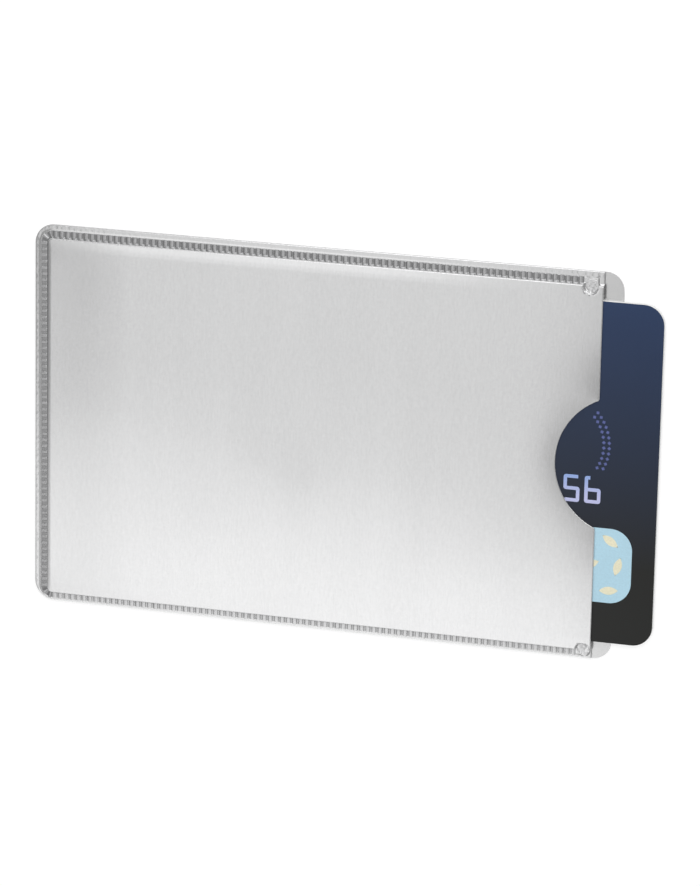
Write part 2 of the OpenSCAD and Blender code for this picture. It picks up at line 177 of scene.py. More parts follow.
@dataclass
class Graph:
    """Shader nodes of one tree, added and linked in short calls."""

    tree: bpy.types.NodeTree

    def add(self, kind: str, **settings: object) -> bpy.types.Node:
        """Adds a node.

        Args:
            kind: the node's type after "ShaderNode".
            settings: properties of the node, set by name.

        Returns:
            The new node.
        """
        made = self.tree.nodes.new("ShaderNode" + kind)
        for key, value in settings.items():
            setattr(made, key, value)
        return made

    def feed(self, target: Sockets, source: Sockets | float | tuple) -> None:
        """Links a socket to another, or sets its plain value.

        Args:
            target: input socket.
            source: output socket or a plain value.
        """
        if isinstance(source, bpy.types.NodeSocket):
            self.tree.links.new(target, source)
        else:
            target.default_value = source

    def fill(self, made: bpy.types.Node, **values: Sockets | float | tuple) -> None:
        """Sets or links a node's inputs, named with _ for each space."""
        for key, value in values.items():
            self.feed(made.inputs[key.replace("_", " ")], value)

    def mask(self, name: str) -> Sockets:
        """Socket of a mask that a piece stores on its vertices."""
        return self.add("Attribute", attribute_name=name).outputs["Fac"]

    def bump(self, height: Sockets, distance: float, strength: float) -> bpy.types.Node:
        """Adds a Bump node.

        Args:
            height: socket of the height, from 0 to 1.
            distance: height in millimetres at 1.
            strength: strength of the effect.

        Returns:
            The node.
        """
        made = self.add("Bump")
        self.fill(made, Height=height, Distance=distance * MM, Strength=strength)
        return made

    def maths(self, operation: str, *values: Sockets | float) -> Sockets:
        """Adds a Math node.

        Args:
            operation: name of the operation.
            values: its inputs in order.

        Returns:
            The node's value socket.
        """
        made = self.add("Math", operation=operation)
        for socket, value in zip(made.inputs, values):
            self.feed(socket, value)
        return made.outputs["Value"]

    def ranged(self, value: Sockets, start: float, end: float, low: float, high: float) -> Sockets:
        """Maps a value from one range to another, with smooth ends.

        Args:
            value: socket to map.
            start: value that becomes low.
            end: value that becomes high.
            low: result at the start.
            high: result at the end.

        Returns:
            The mapped value's socket.
        """
        made = self.add("MapRange", interpolation_type="SMOOTHSTEP")
        for socket, source in zip(made.inputs, (value, start, end, low, high)):
            self.feed(socket, source)
        return made.outputs["Result"]

    def blended(self, amount: Sockets | float, first: Sockets | Colour, second: Sockets | Colour) -> Sockets:
        """Mixes two colours.

        Args:
            amount: share of the second colour.
            first: colour at 0.
            second: colour at 1.

        Returns:
            The mixed colour's socket.
        """
        made = self.add("Mix", data_type="RGBA")
        named = {socket.identifier: socket for socket in made.inputs}
        self.feed(named["Factor_Float"], amount)
        for key, colour in (("A_Color", first), ("B_Color", second)):
            self.feed(named[key], colour if isinstance(colour, bpy.types.NodeSocket) else (*colour, 1.0))
        return next(socket for socket in made.outputs if socket.identifier == "Result_Color")

    def object_point(self, scale: Triple) -> Sockets:
        """Place on the piece, stretched for a pattern.

        Args:
            scale: factors along the three axes.

        Returns:
            The stretched place's socket.
        """
        mapping = self.add("Mapping")
        self.fill(mapping, Scale=scale, Vector=self.add("TexCoord").outputs["Object"])
        return mapping.outputs["Vector"]


class GrainGroup:
    """Node group for the fine grain that every finish has in its own size.

    It turns a stretched place into a tone, a mask for roughness and a height.
    """

    NAME = "fine_grain"
    ROUGHNESS = 0.6
    FINE_IN_TONE = 0.65
    FINE_IN_GLOSS = 0.4

    @classmethod
    def get(cls) -> bpy.types.NodeTree:
        """Node group, built at its first use."""
        return bpy.data.node_groups.get(cls.NAME) or cls.build()

    @classmethod
    def build(cls) -> bpy.types.NodeTree:
        """Builds the group.

        Returns:
            The node group with inputs Place, Grain Size and Cloud Size, and outputs Tone, Gloss and Height.
        """
        tree = bpy.data.node_groups.new(cls.NAME, "ShaderNodeTree")
        tree.interface.new_socket("Place", in_out="INPUT", socket_type="NodeSocketVector")
        for label, value in (("Grain Size", 1.0), ("Cloud Size", 0.05)):
            socket = tree.interface.new_socket(label, in_out="INPUT", socket_type="NodeSocketFloat")
            socket.default_value = value
        for label in ("Tone", "Gloss", "Height"):
            tree.interface.new_socket(label, in_out="OUTPUT", socket_type="NodeSocketFloat")
        graph = Graph(tree)
        given = tree.nodes.new("NodeGroupInput")
        result = tree.nodes.new("NodeGroupOutput")
        grain = graph.add("TexNoise")
        cloud = graph.add("TexNoise")
        for texture, label, detail in ((grain, "Grain Size", 3.0), (cloud, "Cloud Size", 2.0)):
            graph.fill(texture, Vector=given.outputs["Place"], Scale=given.outputs[label],
                       Detail=detail, Roughness=cls.ROUGHNESS)
        fine, broad = grain.outputs[0], cloud.outputs[0]
        for label, share in (("Tone", cls.FINE_IN_TONE), ("Gloss", cls.FINE_IN_GLOSS)):
            rest = graph.maths("MULTIPLY", broad, 1.0 - share)
            graph.feed(result.inputs[label], graph.maths("MULTIPLY_ADD", fine, share, rest))
        graph.feed(result.inputs["Height"], fine)
        return tree


@dataclass(frozen=True)
class Finish:
    """Finish of a surface: a base colour with a fine grain in its tone, roughness and height."""

    name: str
    slot: str
    colour: Colour
    metallic: float = 0.0
    roughness: float = 0.45
    specular: float = 0.5
    tone_spread: float = 0.06
    gloss_spread: float = 0.08
    grain_scale: Triple = (3000.0, 3000.0, 3000.0)
    cloud_size: float = 0.05
    bump_height: float = 0.002
    bump_strength: float = 0.2
    anisotropy: float = 0.0

    def material(self) -> bpy.types.Material:
        """Material of this finish, built at its first use and named apart from the solids' own ones.

        Returns:
            The Blender material.
        """
        name = f"{self.name}_finish"
        ready = bpy.data.materials.get(name)
        if ready:
            return ready
        made = bpy.data.materials.new(name)
        made.use_nodes = True
        graph = Graph(made.node_tree)
        shader = made.node_tree.nodes["Principled BSDF"]
        grain = graph.add("Group", node_tree=GrainGroup.get())
        graph.fill(grain, Place=graph.object_point(self.grain_scale), Cloud_Size=self.cloud_size)
        graph.fill(shader, Metallic=self.metallic, Specular_IOR_Level=self.specular)
        if self.anisotropy:
            tangent = graph.add("Tangent", direction_type="UV_MAP", uv_map=FLAT_MAP)
            graph.fill(shader, Anisotropic=self.anisotropy, Tangent=tangent.outputs["Tangent"])
        graph.fill(shader, Base_Color=self.base_colour(graph, grain.outputs["Tone"]),
                   Roughness=self.gloss(graph, grain.outputs["Gloss"]),
                   Normal=self.relief(graph, grain.outputs["Height"]))
        return made

    def base_colour(self, graph: Graph, tone: Sockets) -> Sockets:
        """Base colour, lighter and darker with the grain.

        Args:
            graph: tree that takes the nodes.
            tone: the grain's tone.

        Returns:
            The colour's socket.
        """
        darker = tuple(c * (1.0 - self.tone_spread) for c in self.colour)
        lighter = tuple(min(1.0, c * (1.0 + self.tone_spread)) for c in self.colour)
        return graph.blended(graph.ranged(tone, *NOISE_RANGE, 0.0, 1.0), darker, lighter)

    def gloss(self, graph: Graph, mask: Sockets) -> Sockets:
        """Roughness, which changes with the grain's mask for gloss."""
        smoothest = max(LEAST_ROUGHNESS, self.roughness - self.gloss_spread)
        return graph.ranged(mask, *NOISE_RANGE, smoothest, self.roughness + self.gloss_spread)

    def relief(self, graph: Graph, height: Sockets) -> Sockets:
        """Normal of the fine relief, from the grain's height."""
        return graph.bump(height, self.bump_height, self.bump_strength).outputs["Normal"]


@dataclass(frozen=True)
class FilmFinish(Finish):
    """Silver metallised film with a grain across the sleeve and a knurl pressed into its flange."""

    speck_scale: float = 2400.0
    speck_detail: float = 2.0
    speck_roughness: float = 0.7
    speck_share: float = 0.32
    fused_share: float = 0.65
    knurl_pitch: float = 1.0
    knurl_height: float = 0.004
    knurl_unevenness: float = 0.35
    knurl_dot: tuple[float, float] = (0.15, 0.42)

    def base_colour(self, graph: Graph, tone: Sockets) -> Sockets:
        """Base colour with specks over the brushed grain, and painted shade where the shade mask says: along
        the film's bend beside the end seam and in the back film's seam imprint.

        Args:
            graph: tree that takes the nodes.
            tone: the grain's tone.

        Returns:
            The colour's socket.
        """
        speck = graph.add("TexNoise")
        graph.fill(speck, Scale=self.speck_scale, Detail=self.speck_detail,
                   Roughness=self.speck_roughness, Vector=graph.object_point((1.0, 1.0, 1.0)))
        share = graph.maths("MULTIPLY", speck.outputs[0], self.speck_share)
        plain = super().base_colour(graph, graph.maths("MULTIPLY_ADD", tone, 1.0 - self.speck_share, share))
        # Painted shade: the shade mask darkens the film towards this colour.
        darker = tuple(c * (1.0 - self.fused_share) for c in self.colour)
        return graph.blended(graph.mask(PAINTED_SHADE_MASK), plain, darker)

    def relief(self, graph: Graph, height: Sockets) -> Sockets:
        """Grain, with the knurl's dimples where the flange's mask says.

        Args:
            graph: tree that takes the nodes.
            height: the grain's height.

        Returns:
            The normal's socket.
        """
        per_metre = 1.0 / (self.knurl_pitch * MM)
        dots = graph.add("TexVoronoi", feature="F1")
        graph.fill(dots, Scale=1.0, Randomness=self.knurl_unevenness,
                   Vector=graph.object_point((per_metre, per_metre, 0.0)))
        dimple = graph.ranged(dots.outputs["Distance"], *self.knurl_dot, 0.0, 1.0)
        shown = graph.maths("MULTIPLY", dimple, graph.mask(FLANGE_MASK))
        bump = graph.bump(shown, self.knurl_height, 1.0)
        graph.feed(bump.inputs["Normal"], super().relief(graph, height))
        return bump.outputs["Normal"]


@dataclass(frozen=True)
class SeamFinish(Finish):
    """Fused film with painted shade in the grooves between the welding wheel's teeth."""

    # Colour of the painted shade in the grooves.
    groove_shade_colour: Colour = (0.2, 0.2, 0.2)

    def base_colour(self, graph: Graph, tone: Sockets) -> Sockets:
        """Colour of the teeth, with the grain's small changes of tone, and painted shade in the grooves."""
        return graph.blended(graph.mask(GROOVE_SHADE_MASK), super().base_colour(graph, tone), self.groove_shade_colour)


@dataclass(frozen=True)
class FadeFinish(Finish):
    """Printed colour that fades across the card from one edge to the other."""

    far_colour: Colour = (0.0, 0.0, 0.0)
    fade_start: float = 0.0
    fade_end: float = 1.0

    def base_colour(self, graph: Graph, tone: Sockets) -> Sockets:
        """Colour that fades along y, with the grain's small changes of tone.

        Args:
            graph: tree that takes the nodes.
            tone: the grain's tone.

        Returns:
            The colour's socket.
        """
        place = graph.add("SeparateXYZ")
        graph.feed(place.inputs["Vector"], graph.add("TexCoord").outputs["Object"])
        share = graph.add("MapRange")
        graph.fill(share, Value=place.outputs["Y"], From_Min=self.fade_start * MM,
                   From_Max=self.fade_end * MM)
        near = super().base_colour(graph, tone)
        return graph.blended(share.outputs["Result"], near, self.far_colour)


FILM = FilmFinish(
    "silver_film", "cover_film", (0.64, 0.64, 0.643), metallic=0.85, roughness=0.115, tone_spread=0.05,
    gloss_spread=0.01, grain_scale=(5000.0, 600.0, 600.0), cloud_size=0.03, bump_height=0.002,
    bump_strength=0.15, anisotropy=0.6,
)
LINER = Finish(
    "grey_liner", "liner_film", (0.67, 0.67, 0.67), metallic=0.8, roughness=0.22, tone_spread=0.02,
    gloss_spread=0.02, bump_strength=0.08,
)
FOIL = Finish(
    "bright_foil", "shield_foil", (0.78, 0.79, 0.8), metallic=1.0, roughness=0.3,
    grain_scale=(5000.0, 300.0, 300.0),
)
WELD = SeamFinish(
    "fused_seam", "weld_bead", (0.42, 0.42, 0.425), metallic=0.7, roughness=0.28,
    tone_spread=0.08, gloss_spread=0.04, grain_scale=(1200.0, 1200.0, 1200.0), bump_height=0.003,
    groove_shade_colour=(0.3, 0.3, 0.304),
)
# Lighter copy of the seam finish for the lower seam: painted light for the brighter light that falls there,
# not a different film.
PAINTED_LIGHT_WELD = replace(
    WELD, name="painted_light_seam", colour=(0.62, 0.62, 0.625), groove_shade_colour=(0.54, 0.54, 0.545)
)
TACK = Finish(
    "melted_spot", "tack_weld", (0.66, 0.66, 0.665), metallic=0.6, roughness=0.3,
    tone_spread=0.08, gloss_spread=0.06, grain_scale=(1400.0, 1400.0, 1400.0), bump_height=0.03,
    bump_strength=0.4,
)
CARD_BACK = Finish("pale_back", "card_back", (0.8, 0.8, 0.83), roughness=0.4, tone_spread=0.02)
CARD_CORE = Finish("card_stock", "card_core", (0.9, 0.9, 0.89), roughness=0.55, tone_spread=0.02)
INLAY = Finish("inlay_sheet", "card_inlay", (0.86, 0.87, 0.86), roughness=0.6, tone_spread=0.03)
COPPER = Finish("bare_copper", "antenna_copper", (0.78, 0.42, 0.24), metallic=1.0, roughness=0.3)
GOLD = Finish(
    "contact_gold", "chip_gold", (0.86, 0.62, 0.26), metallic=1.0, roughness=0.28,
    tone_spread=0.05, grain_scale=(2500.0, 9000.0, 2500.0), bump_strength=0.15,
)
CARRIER = Finish("carrier_tape", "chip_carrier", (0.16, 0.2, 0.11), roughness=0.5, tone_spread=0.2)
RESIN = Finish("potting_resin", "chip_resin", (0.02, 0.02, 0.02), roughness=0.35, tone_spread=0.3)
STRIPE = Finish(
    "brown_stripe", "magnetic_stripe", (0.02, 0.016, 0.014), roughness=0.3, tone_spread=0.2,
    grain_scale=(300.0, 6000.0, 300.0),
)
PANEL = Finish("signing_panel", "signature_panel", (0.85, 0.85, 0.8), roughness=0.8, specular=0.2)
PATCH_INK = Finish("sky_ink", "patch_ink", (0.44, 0.665, 0.785), roughness=0.4, tone_spread=0.05)
LEAF_INK = Finish("cream_ink", "leaf_ink", (0.8, 0.76, 0.56), roughness=0.45, tone_spread=0.08)
DOT_INK = Finish("violet_ink", "dot_ink", (0.09, 0.115, 0.31), roughness=0.4, tone_spread=0.15)


def dress(piece: bpy.types.Object, finish: Finish) -> None:
    """Gives a piece or a carried solid one finish all over.

    Args:
        piece: object that is dressed.
        finish: finish that it gets.
    """
    material = finish.material()
    if piece.material_slots:
        for slot in piece.material_slots:
            slot.material = material
    else:
        piece.data.materials.append(material)


def place_piece(piece: bpy.types.Object, finish: Finish, body: str, *nodes: str) -> None:
    """Dresses a finished piece, ties it to its body and hides the solids that it stands for.

    Args:
        piece: object that is placed.
        finish: finish that it gets.
        body: body that it moves with.
        nodes: solids that it replaces.
    """
    dress(piece, finish)
    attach(piece, body)
    if nodes:
        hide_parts(*nodes)
    log.info("%s: %d faces, %s", piece.name, len(piece.data.polygons), finish.name)


# Plan of the sleeve


@dataclass(frozen=True)
class Place:
    """Lowest and highest corner of a solid in millimetres."""

    low: Vector
    high: Vector

    @classmethod
    def of(cls, node: str) -> "Place":
        """Place of the solid with this name."""
        low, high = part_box(node)
        return cls(low / MM, high / MM)

    @property
    def middle(self) -> Vector:
        """Middle of the place."""
        return (self.low + self.high) / 2


@dataclass(frozen=True)
class Plan:
    """Places that the films, seams and tack welds share, read from the solids."""

    film: Place = field(default_factory=lambda: Place.of("front_cover_film"))
    back: Place = field(default_factory=lambda: Place.of("back_cover_film"))
    seam_top: Place = field(default_factory=lambda: Place.of("weld_seam_top"))
    seam_end: Place = field(default_factory=lambda: Place.of("weld_seam_end"))
    seam_low: Place = field(default_factory=lambda: Place.of("weld_seam_low"))
    tacks: tuple[Place, ...] = field(
        default_factory=lambda: (Place.of("tack_weld_top"), Place.of("tack_weld_low"))
    )
    bead_gap: float = 0.05
    seam_stop: float = 0.9
    corner_r: float = 3.0
    seam_r: float = 1.9

    @property
    def seam_w(self) -> float:
        """Width of the weld channel."""
        return self.seam_top.high.y - self.seam_top.low.y + 2 * self.bead_gap

    @property
    def flange_end(self) -> float:
        """Width of the flange at the closed end."""
        return self.seam_end.low.x - self.bead_gap - self.film.low.x

    @property
    def flange_top(self) -> float:
        """Width of the flange along the upper edge."""
        return self.film.high.y - self.seam_top.high.y - self.bead_gap

    @property
    def flange_low(self) -> float:
        """Width of the flange along the lower edge."""
        return self.seam_low.low.y - self.bead_gap - self.film.low.y

    @property
    def stop_x(self) -> float:
        """Place along x where the weld channel ends before the mouth."""
        return self.film.high.x - self.seam_stop

    def gaps(self, x: float, y: float) -> Triple:
        """Distances in from the inner edges of the flange's end, upper and lower parts."""
        return (x - self.film.low.x - self.flange_end, self.film.high.y - self.flange_top - y,
                y - self.film.low.y - self.flange_low)


@dataclass(frozen=True)
class Ring:
    """U-shaped line of a film's mesh at one distance in from the edge.

    It has one height where the films are welded and one past the channel's end. Its depth is its
    distance in from the channel's inner edge, for rings past the channel.
    """

    end: float
    top: float
    low: float
    radius: float
    sealed_z: float
    open_z: float
    depth: float = 0.0

    @classmethod
    def outer(cls, plan: Plan, share: float, sealed: float, open_z: float) -> "Ring":
        """Ring on the flange, at a share of the way from the film's edge to the channel."""
        radius = plan.corner_r + (plan.seam_r - plan.corner_r) * share
        return cls(plan.flange_end * share, plan.flange_top * share, plan.flange_low * share,
                   radius, sealed, open_z)

    @classmethod
    def inner(cls, plan: Plan, inset: float, radius: float, sealed: float, open_z: float,
              depth: float = 0.0) -> "Ring":
        """Ring at one distance in from the channel's outer edge."""
        return cls(plan.flange_end + inset, plan.flange_top + inset, plan.flange_low + inset,
                   radius, sealed, open_z, depth)


@dataclass(frozen=True)
class Buckle:
    """Soft swelling of the loose film."""

    x: float
    y: float
    reach_x: float
    reach_y: float
    turn: float
    rise: float

    def lift(self, x: float, y: float) -> float:
        """Rise at a place.

        Args:
            x: place along the sleeve.
            y: place across it.

        Returns:
            The rise in millimetres.
        """
        dx, dy = x - self.x, y - self.y
        along = (dx * math.cos(self.turn) + dy * math.sin(self.turn)) / self.reach_x
        across = (dy * math.cos(self.turn) - dx * math.sin(self.turn)) / self.reach_y
        return self.rise * math.exp(-along * along - across * across)


@dataclass
class FilmShape:
    """Lie of the front film: flange, weld channel, climb onto the card, buckles and thumb notch."""

    plan: Plan
    notch_r: float = 11.1
    notch_depth: float = 6.6
    notch_y: float = 0.65
    notch_round: float = 0.5
    floor_z: float = 0.4
    flange_z: float = 0.52
    ridge_h: float = 0.03
    lip_z: float = 0.6
    wall_run: float = 0.3
    wall_top: float = 1.2
    slope_run: float = 2.4
    slope_share: float = 0.68
    pillow_run: float = 7.0
    end_share: float = 0.3
    end_run: float = 0.9
    edge_round: float = 0.08
    frame_in: float = 3.0
    frame_steps: int = 19
    corner_fade: float = 0.3
    warp_run: float = 14.0
    warp_steps: int = 12
    fine_run: float = 4.6
    fine_steps: int = 32
    rim_run: float = 0.6
    rim_gaps: tuple[float, ...] = (0.45, 0.32, 0.22, 0.14, 0.09, 0.05, 0.02, 0.0)
    notch_steps: int = 48
    round_steps: int = 6
    top_gap: float = 0.004
    stop_blend: float = 0.15
    tack_wall: float = 0.12
    tack_inside: float = 0.05
    low_drop: float = 0.1
    low_blend: float = 3.0
    corner_steps: int = 10
    slack: float = 0.06
    most_drop: float = 0.13
    mouth_droop: float = 0.075
    droop_run: float = 6.0
    droop_y: float = 2.5
    droop_reach: float = 13.0
    hidden_edge: float = field(default_factory=lambda: Place.of("card_front_print").low.x)
    swellings: tuple[Buckle, ...] = (
        Buckle(-28.0, 9.0, 14.0, 10.0, 0.0, 0.05),
        Buckle(-1.8, 1.3, 10.0, 4.0, 1.4, -0.05),
        Buckle(-8.0, -7.0, 6.0, 10.0, 0.1, 0.05),
        Buckle(30.0, -19.0, 16.0, 9.0, 0.0, 0.05),
        Buckle(-16.0, -18.0, 13.0, 8.0, 0.2, 0.035),
        Buckle(6.0, 15.0, 8.0, 10.0, 0.0, 0.055),
        Buckle(20.0, 12.0, 6.0, 6.0, 0.4, 0.03),
        Buckle(33.0, 15.0, 6.0, 8.0, 0.0, 0.03),
    )

    def __post_init__(self) -> None:
        """Works out the grid lines that the rings and the field share."""
        self.top_z = self.plan.film.high.z - self.top_gap
        self.inner_end = self.plan.film.low.x + self.plan.flange_end + self.plan.seam_w
        self.inner_top = self.plan.film.high.y - self.plan.flange_top - self.plan.seam_w
        self.inner_low = self.plan.film.low.y + self.plan.flange_low + self.plan.seam_w
        self.columns = self.column_lines()
        self.rows = self.row_lines()
        self.rings = self.ring_lines()

    @property
    def mouth_x(self) -> float:
        """Place of the mouth's straight edge."""
        return self.plan.film.high.x

    @property
    def notch_x(self) -> float:
        """Middle of the thumb notch."""
        return self.mouth_x - self.notch_depth + self.notch_r

    @property
    def notch_reach(self) -> float:
        """Half the width over which the notch and its two round corners leave the mouth's line."""
        across = self.notch_x - (self.mouth_x - self.notch_round)
        return math.sqrt((self.notch_r + self.notch_round) ** 2 - across**2)

    def column_lines(self) -> list[float]:
        """Lines across the sleeve, closer together at the mouth.

        Returns:
            Their places along x, from the closed end to the mouth.
        """
        start = self.inner_end + self.frame_in
        warp = self.mouth_x - self.warp_run
        near, last = self.mouth_x - self.fine_run, self.mouth_x - self.rim_run
        lines = [start]
        lines += even_steps(start, warp, round(warp - start))
        lines += even_steps(warp, near, self.warp_steps)
        lines += even_steps(near, last, self.fine_steps)
        return lines + [self.mouth_x - gap for gap in self.rim_gaps]

    def row_lines(self) -> list[float]:
        """Lines along the sleeve, closer together at the thumb notch.

        Returns:
            Their places along y, from the lower side to the upper one.
        """
        low, high = self.inner_low + self.frame_in, self.inner_top - self.frame_in
        reach = self.notch_reach
        touch = reach * self.notch_r / (self.notch_r + self.notch_round)
        angle = math.asin(touch / self.notch_r)
        first, last = self.notch_y - reach, self.notch_y + reach
        lines = [low]
        lines += even_steps(low, first, round(first - low))
        lines += even_steps(first, self.notch_y - touch, self.round_steps)
        lines += [self.notch_y + self.notch_r * math.sin(a)
                  for a in even_steps(-angle, angle, self.notch_steps)]
        lines += even_steps(self.notch_y + touch, last, self.round_steps)
        return lines + even_steps(last, high, round(high - last))

    def ring_lines(self) -> list[Ring]:
        """Rings from the film's edge to the field that the card lifts.

        Returns:
            The rings in order, from the outside in.
        """
        plan = self.plan
        flange = ((0.0, -0.03), (0.03, -0.01), (0.07, -0.002), (0.12, 0.0), (0.3, 0.0), (0.5, 0.0),
                  (0.7, 0.0), (0.8, 0.006), (0.88, 0.02), (0.95, self.ridge_h), (1.0, self.ridge_h * 0.8))
        channel = ((0.08, 0.05), (0.14, 0.012), (0.22, 0.0), (0.36, 0.0), (0.5, 0.0), (0.64, 0.0),
                   (0.78, 0.0), (0.9, 0.004), (0.95, 0.02), (0.985, 0.08), (1.0, self.lip_z - self.floor_z))
        wall = (0.04, 0.08, 0.12, 0.16, 0.2, 0.24, 0.27, 0.3, 0.34)
        rings = []
        for share, z in flange:
            height = self.flange_z + z
            rings.append(Ring.outer(plan, share, height, min(height, self.flange_z)))
        for share, z in channel:
            inset = share * plan.seam_w
            rings.append(Ring.inner(plan, inset, plan.seam_r - inset, self.floor_z + z, self.flange_z))
        for depth in (*wall, *even_steps(wall[-1], self.frame_in, self.frame_steps)):
            height = self.wall_z(depth)
            radius = max(0.0, plan.seam_r - plan.seam_w - self.corner_fade * depth)
            radius = radius if depth < self.frame_in else 0.0
            rings.append(Ring.inner(plan, plan.seam_w + depth, radius, height, height, depth))
        return rings

    def wall_z(self, depth: float) -> float:
        """Height of the steep wall where the film leaves the channel, without rise and buckles."""
        return self.lip_z + (self.wall_top - self.lip_z) * arched(depth, self.wall_run)

    def pillow(self, x: float, y: float) -> float:
        """Share of the buckles, from none at the wall to all of them over the card.

        Args:
            x: place along the sleeve.
            y: place across it.

        Returns:
            The share from 0 to 1.
        """
        share = 1.0
        for gap in (x - self.inner_end, self.inner_top - y, y - self.inner_low):
            share *= eased(gap, self.pillow_run)
        return share

    def soft_rise(self, x: float, y: float) -> float:
        """Rise from the wall's top to the level over the card.

        The film climbs onto the card's long edges, and hangs slack between the closed end and the
        card's hidden edge.

        Args:
            x: place along the sleeve.
            y: place across it.

        Returns:
            The rise in millimetres.
        """
        climb = fill = 1.0
        for gap in (self.inner_top - y, y - self.inner_low):
            climb *= arched(gap, self.slope_run)
            fill *= eased(gap, self.pillow_run)
        near = arched(x - self.inner_end, self.end_run)
        far = covered(x - self.inner_end, self.hidden_edge - self.inner_end)
        inward = self.end_share * near + (1.0 - self.end_share) * far
        sideways = self.slope_share * climb + (1.0 - self.slope_share) * fill
        return (self.top_z - self.wall_top) * inward * sideways

    def edge_gap(self, x: float, y: float) -> float:
        """Distance from the free edge at the mouth or in the notch."""
        return min(self.mouth_x - x, math.hypot(x - self.notch_x, y - self.notch_y) - self.notch_r)

    def buckles(self, x: float, y: float) -> float:
        """How far the film hangs below its highest level, from loose film and its drooping edge.

        Args:
            x: place along the sleeve.
            y: place across it.

        Returns:
            The drop in millimetres, never below zero.
        """
        drop = self.slack - sum(swelling.lift(x, y) for swelling in self.swellings)
        near = math.exp(-((y - self.droop_y) / self.droop_reach) ** 2)
        drop += self.mouth_droop * near * (1.0 - eased(self.edge_gap(x, y), self.droop_run))
        return min(self.most_drop, max(0.0, drop)) * self.pillow(x, y)

    def height(self, x: float, y: float, ring: Ring | None = None) -> float:
        """Height of the film's upper face.

        Args:
            x: place along the sleeve.
            y: place across it.
            ring: ring that the place is on, or None in the field.

        Returns:
            The height in millimetres.
        """
        if ring and ring.depth == 0.0:
            opened = smooth_step(x, self.plan.stop_x - self.stop_blend, self.plan.stop_x + self.stop_blend)
            z = ring.sealed_z + (ring.open_z - ring.sealed_z) * opened
            if ring.end <= self.plan.flange_end:
                low = self.plan.film.low.y + self.plan.flange_low
                z -= self.low_drop * (1.0 - smooth_step(y, low, low + self.low_blend))
        else:
            wall = self.wall_z(ring.depth if ring else self.frame_in)
            z = wall + self.soft_rise(x, y) - self.buckles(x, y)
        z = self.melted(x, y, z)
        edge = self.edge_gap(x, y)
        if edge < self.edge_round:
            z -= self.edge_round * (1.0 - math.sqrt(max(0.0, 1.0 - (1.0 - edge / self.edge_round) ** 2)))
        return z

    def melted(self, x: float, y: float, z: float) -> float:
        """Height with the dips round the tack welds.

        Args:
            x: place along the sleeve.
            y: place across it.
            z: height without the dips.

        Returns:
            The height in millimetres.
        """
        for tack in self.plan.tacks:
            radius = (tack.high.x - tack.low.x) / 2
            gap = math.hypot(x - tack.middle.x, y - tack.middle.y) - radius
            share = smooth_step(gap, -self.tack_inside, self.tack_wall)
            if share < 1.0:
                z = min(z, self.floor_z) * (1.0 - share) + z * share
        return z

    def mouth_edge(self, y: float) -> float:
        """Free edge of the film, round the thumb notch.

        Args:
            y: place across the sleeve.

        Returns:
            The edge's place along x.
        """
        off = abs(y - self.notch_y)
        reach = self.notch_reach
        if off >= reach:
            return self.mouth_x
        if off > reach * self.notch_r / (self.notch_r + self.notch_round):
            back = math.sqrt(max(0.0, self.notch_round**2 - (reach - off) ** 2))
            return self.mouth_x - self.notch_round + back
        return self.notch_x - math.sqrt(self.notch_r**2 - off**2)

    def field_point(self, column: int, row: int) -> Triple:
        """Point of the field, with its columns drawn back round the notch.

        Args:
            column: number of the line across the sleeve.
            row: number of the line along the sleeve.

        Returns:
            The point in millimetres.
        """
        x, y = self.columns[column], self.rows[row]
        start = self.mouth_x - self.warp_run
        if x > start:
            x = start + (x - start) * (self.mouth_edge(y) - start) / (self.mouth_x - start)
        return x, y, self.height(x, y)

    def ring_point(self, step: int, number: int) -> Triple:
        """Point of a ring, which runs from the mouth round the closed end and back to the mouth.

        Args:
            step: number of the point along the ring.
            number: number of the ring, from the outside in.

        Returns:
            The point in millimetres.
        """
        ring = self.rings[number]
        film = self.plan.film
        end, top, low = film.low.x + ring.end, film.high.y - ring.top, film.low.y + ring.low
        across, along = len(self.columns) - 1, len(self.rows) - 1
        first = self.columns[0]
        if step <= across or step >= across + along + 2 * self.corner_steps:
            upper = step <= across
            column = across - step if upper else step - across - along - 2 * self.corner_steps
            share = (self.columns[column] - first) / (self.mouth_x - first)
            x = end + ring.radius + share * (self.mouth_x - end - ring.radius)
            y = top if upper else low
        elif step < across + self.corner_steps or step > across + self.corner_steps + along:
            upper = step < across + self.corner_steps
            turned = step - across if upper else step - across - along - self.corner_steps
            angle = math.radians((90 if upper else 180) + 90 * turned / self.corner_steps)
            x = end + ring.radius + ring.radius * math.cos(angle)
            y = (top - ring.radius if upper else low + ring.radius) + ring.radius * math.sin(angle)
        else:
            row = along - (step - across - self.corner_steps)
            share = (self.rows[row] - self.rows[0]) / (self.rows[-1] - self.rows[0])
            x = end
            y = low + ring.radius + share * (top - low - 2 * ring.radius)
        return x, y, self.height(x, y, ring)

    def sheet(self, bm: bmesh.types.BMesh) -> None:
        """Adds the film's upper face to a mesh.

        Args:
            bm: mesh that takes the face.
        """
        across, along = len(self.columns) - 1, len(self.rows) - 1
        around = 2 * across + along + 2 * self.corner_steps
        map_grid(bm, around, len(self.rings) - 1, self.ring_point)
        map_grid(bm, across, along, self.field_point)
        bmesh.ops.remove_doubles(bm, verts=bm.verts[:], dist=MERGE_GAP * MM)
        bmesh.ops.recalc_face_normals(bm, faces=bm.faces[:])


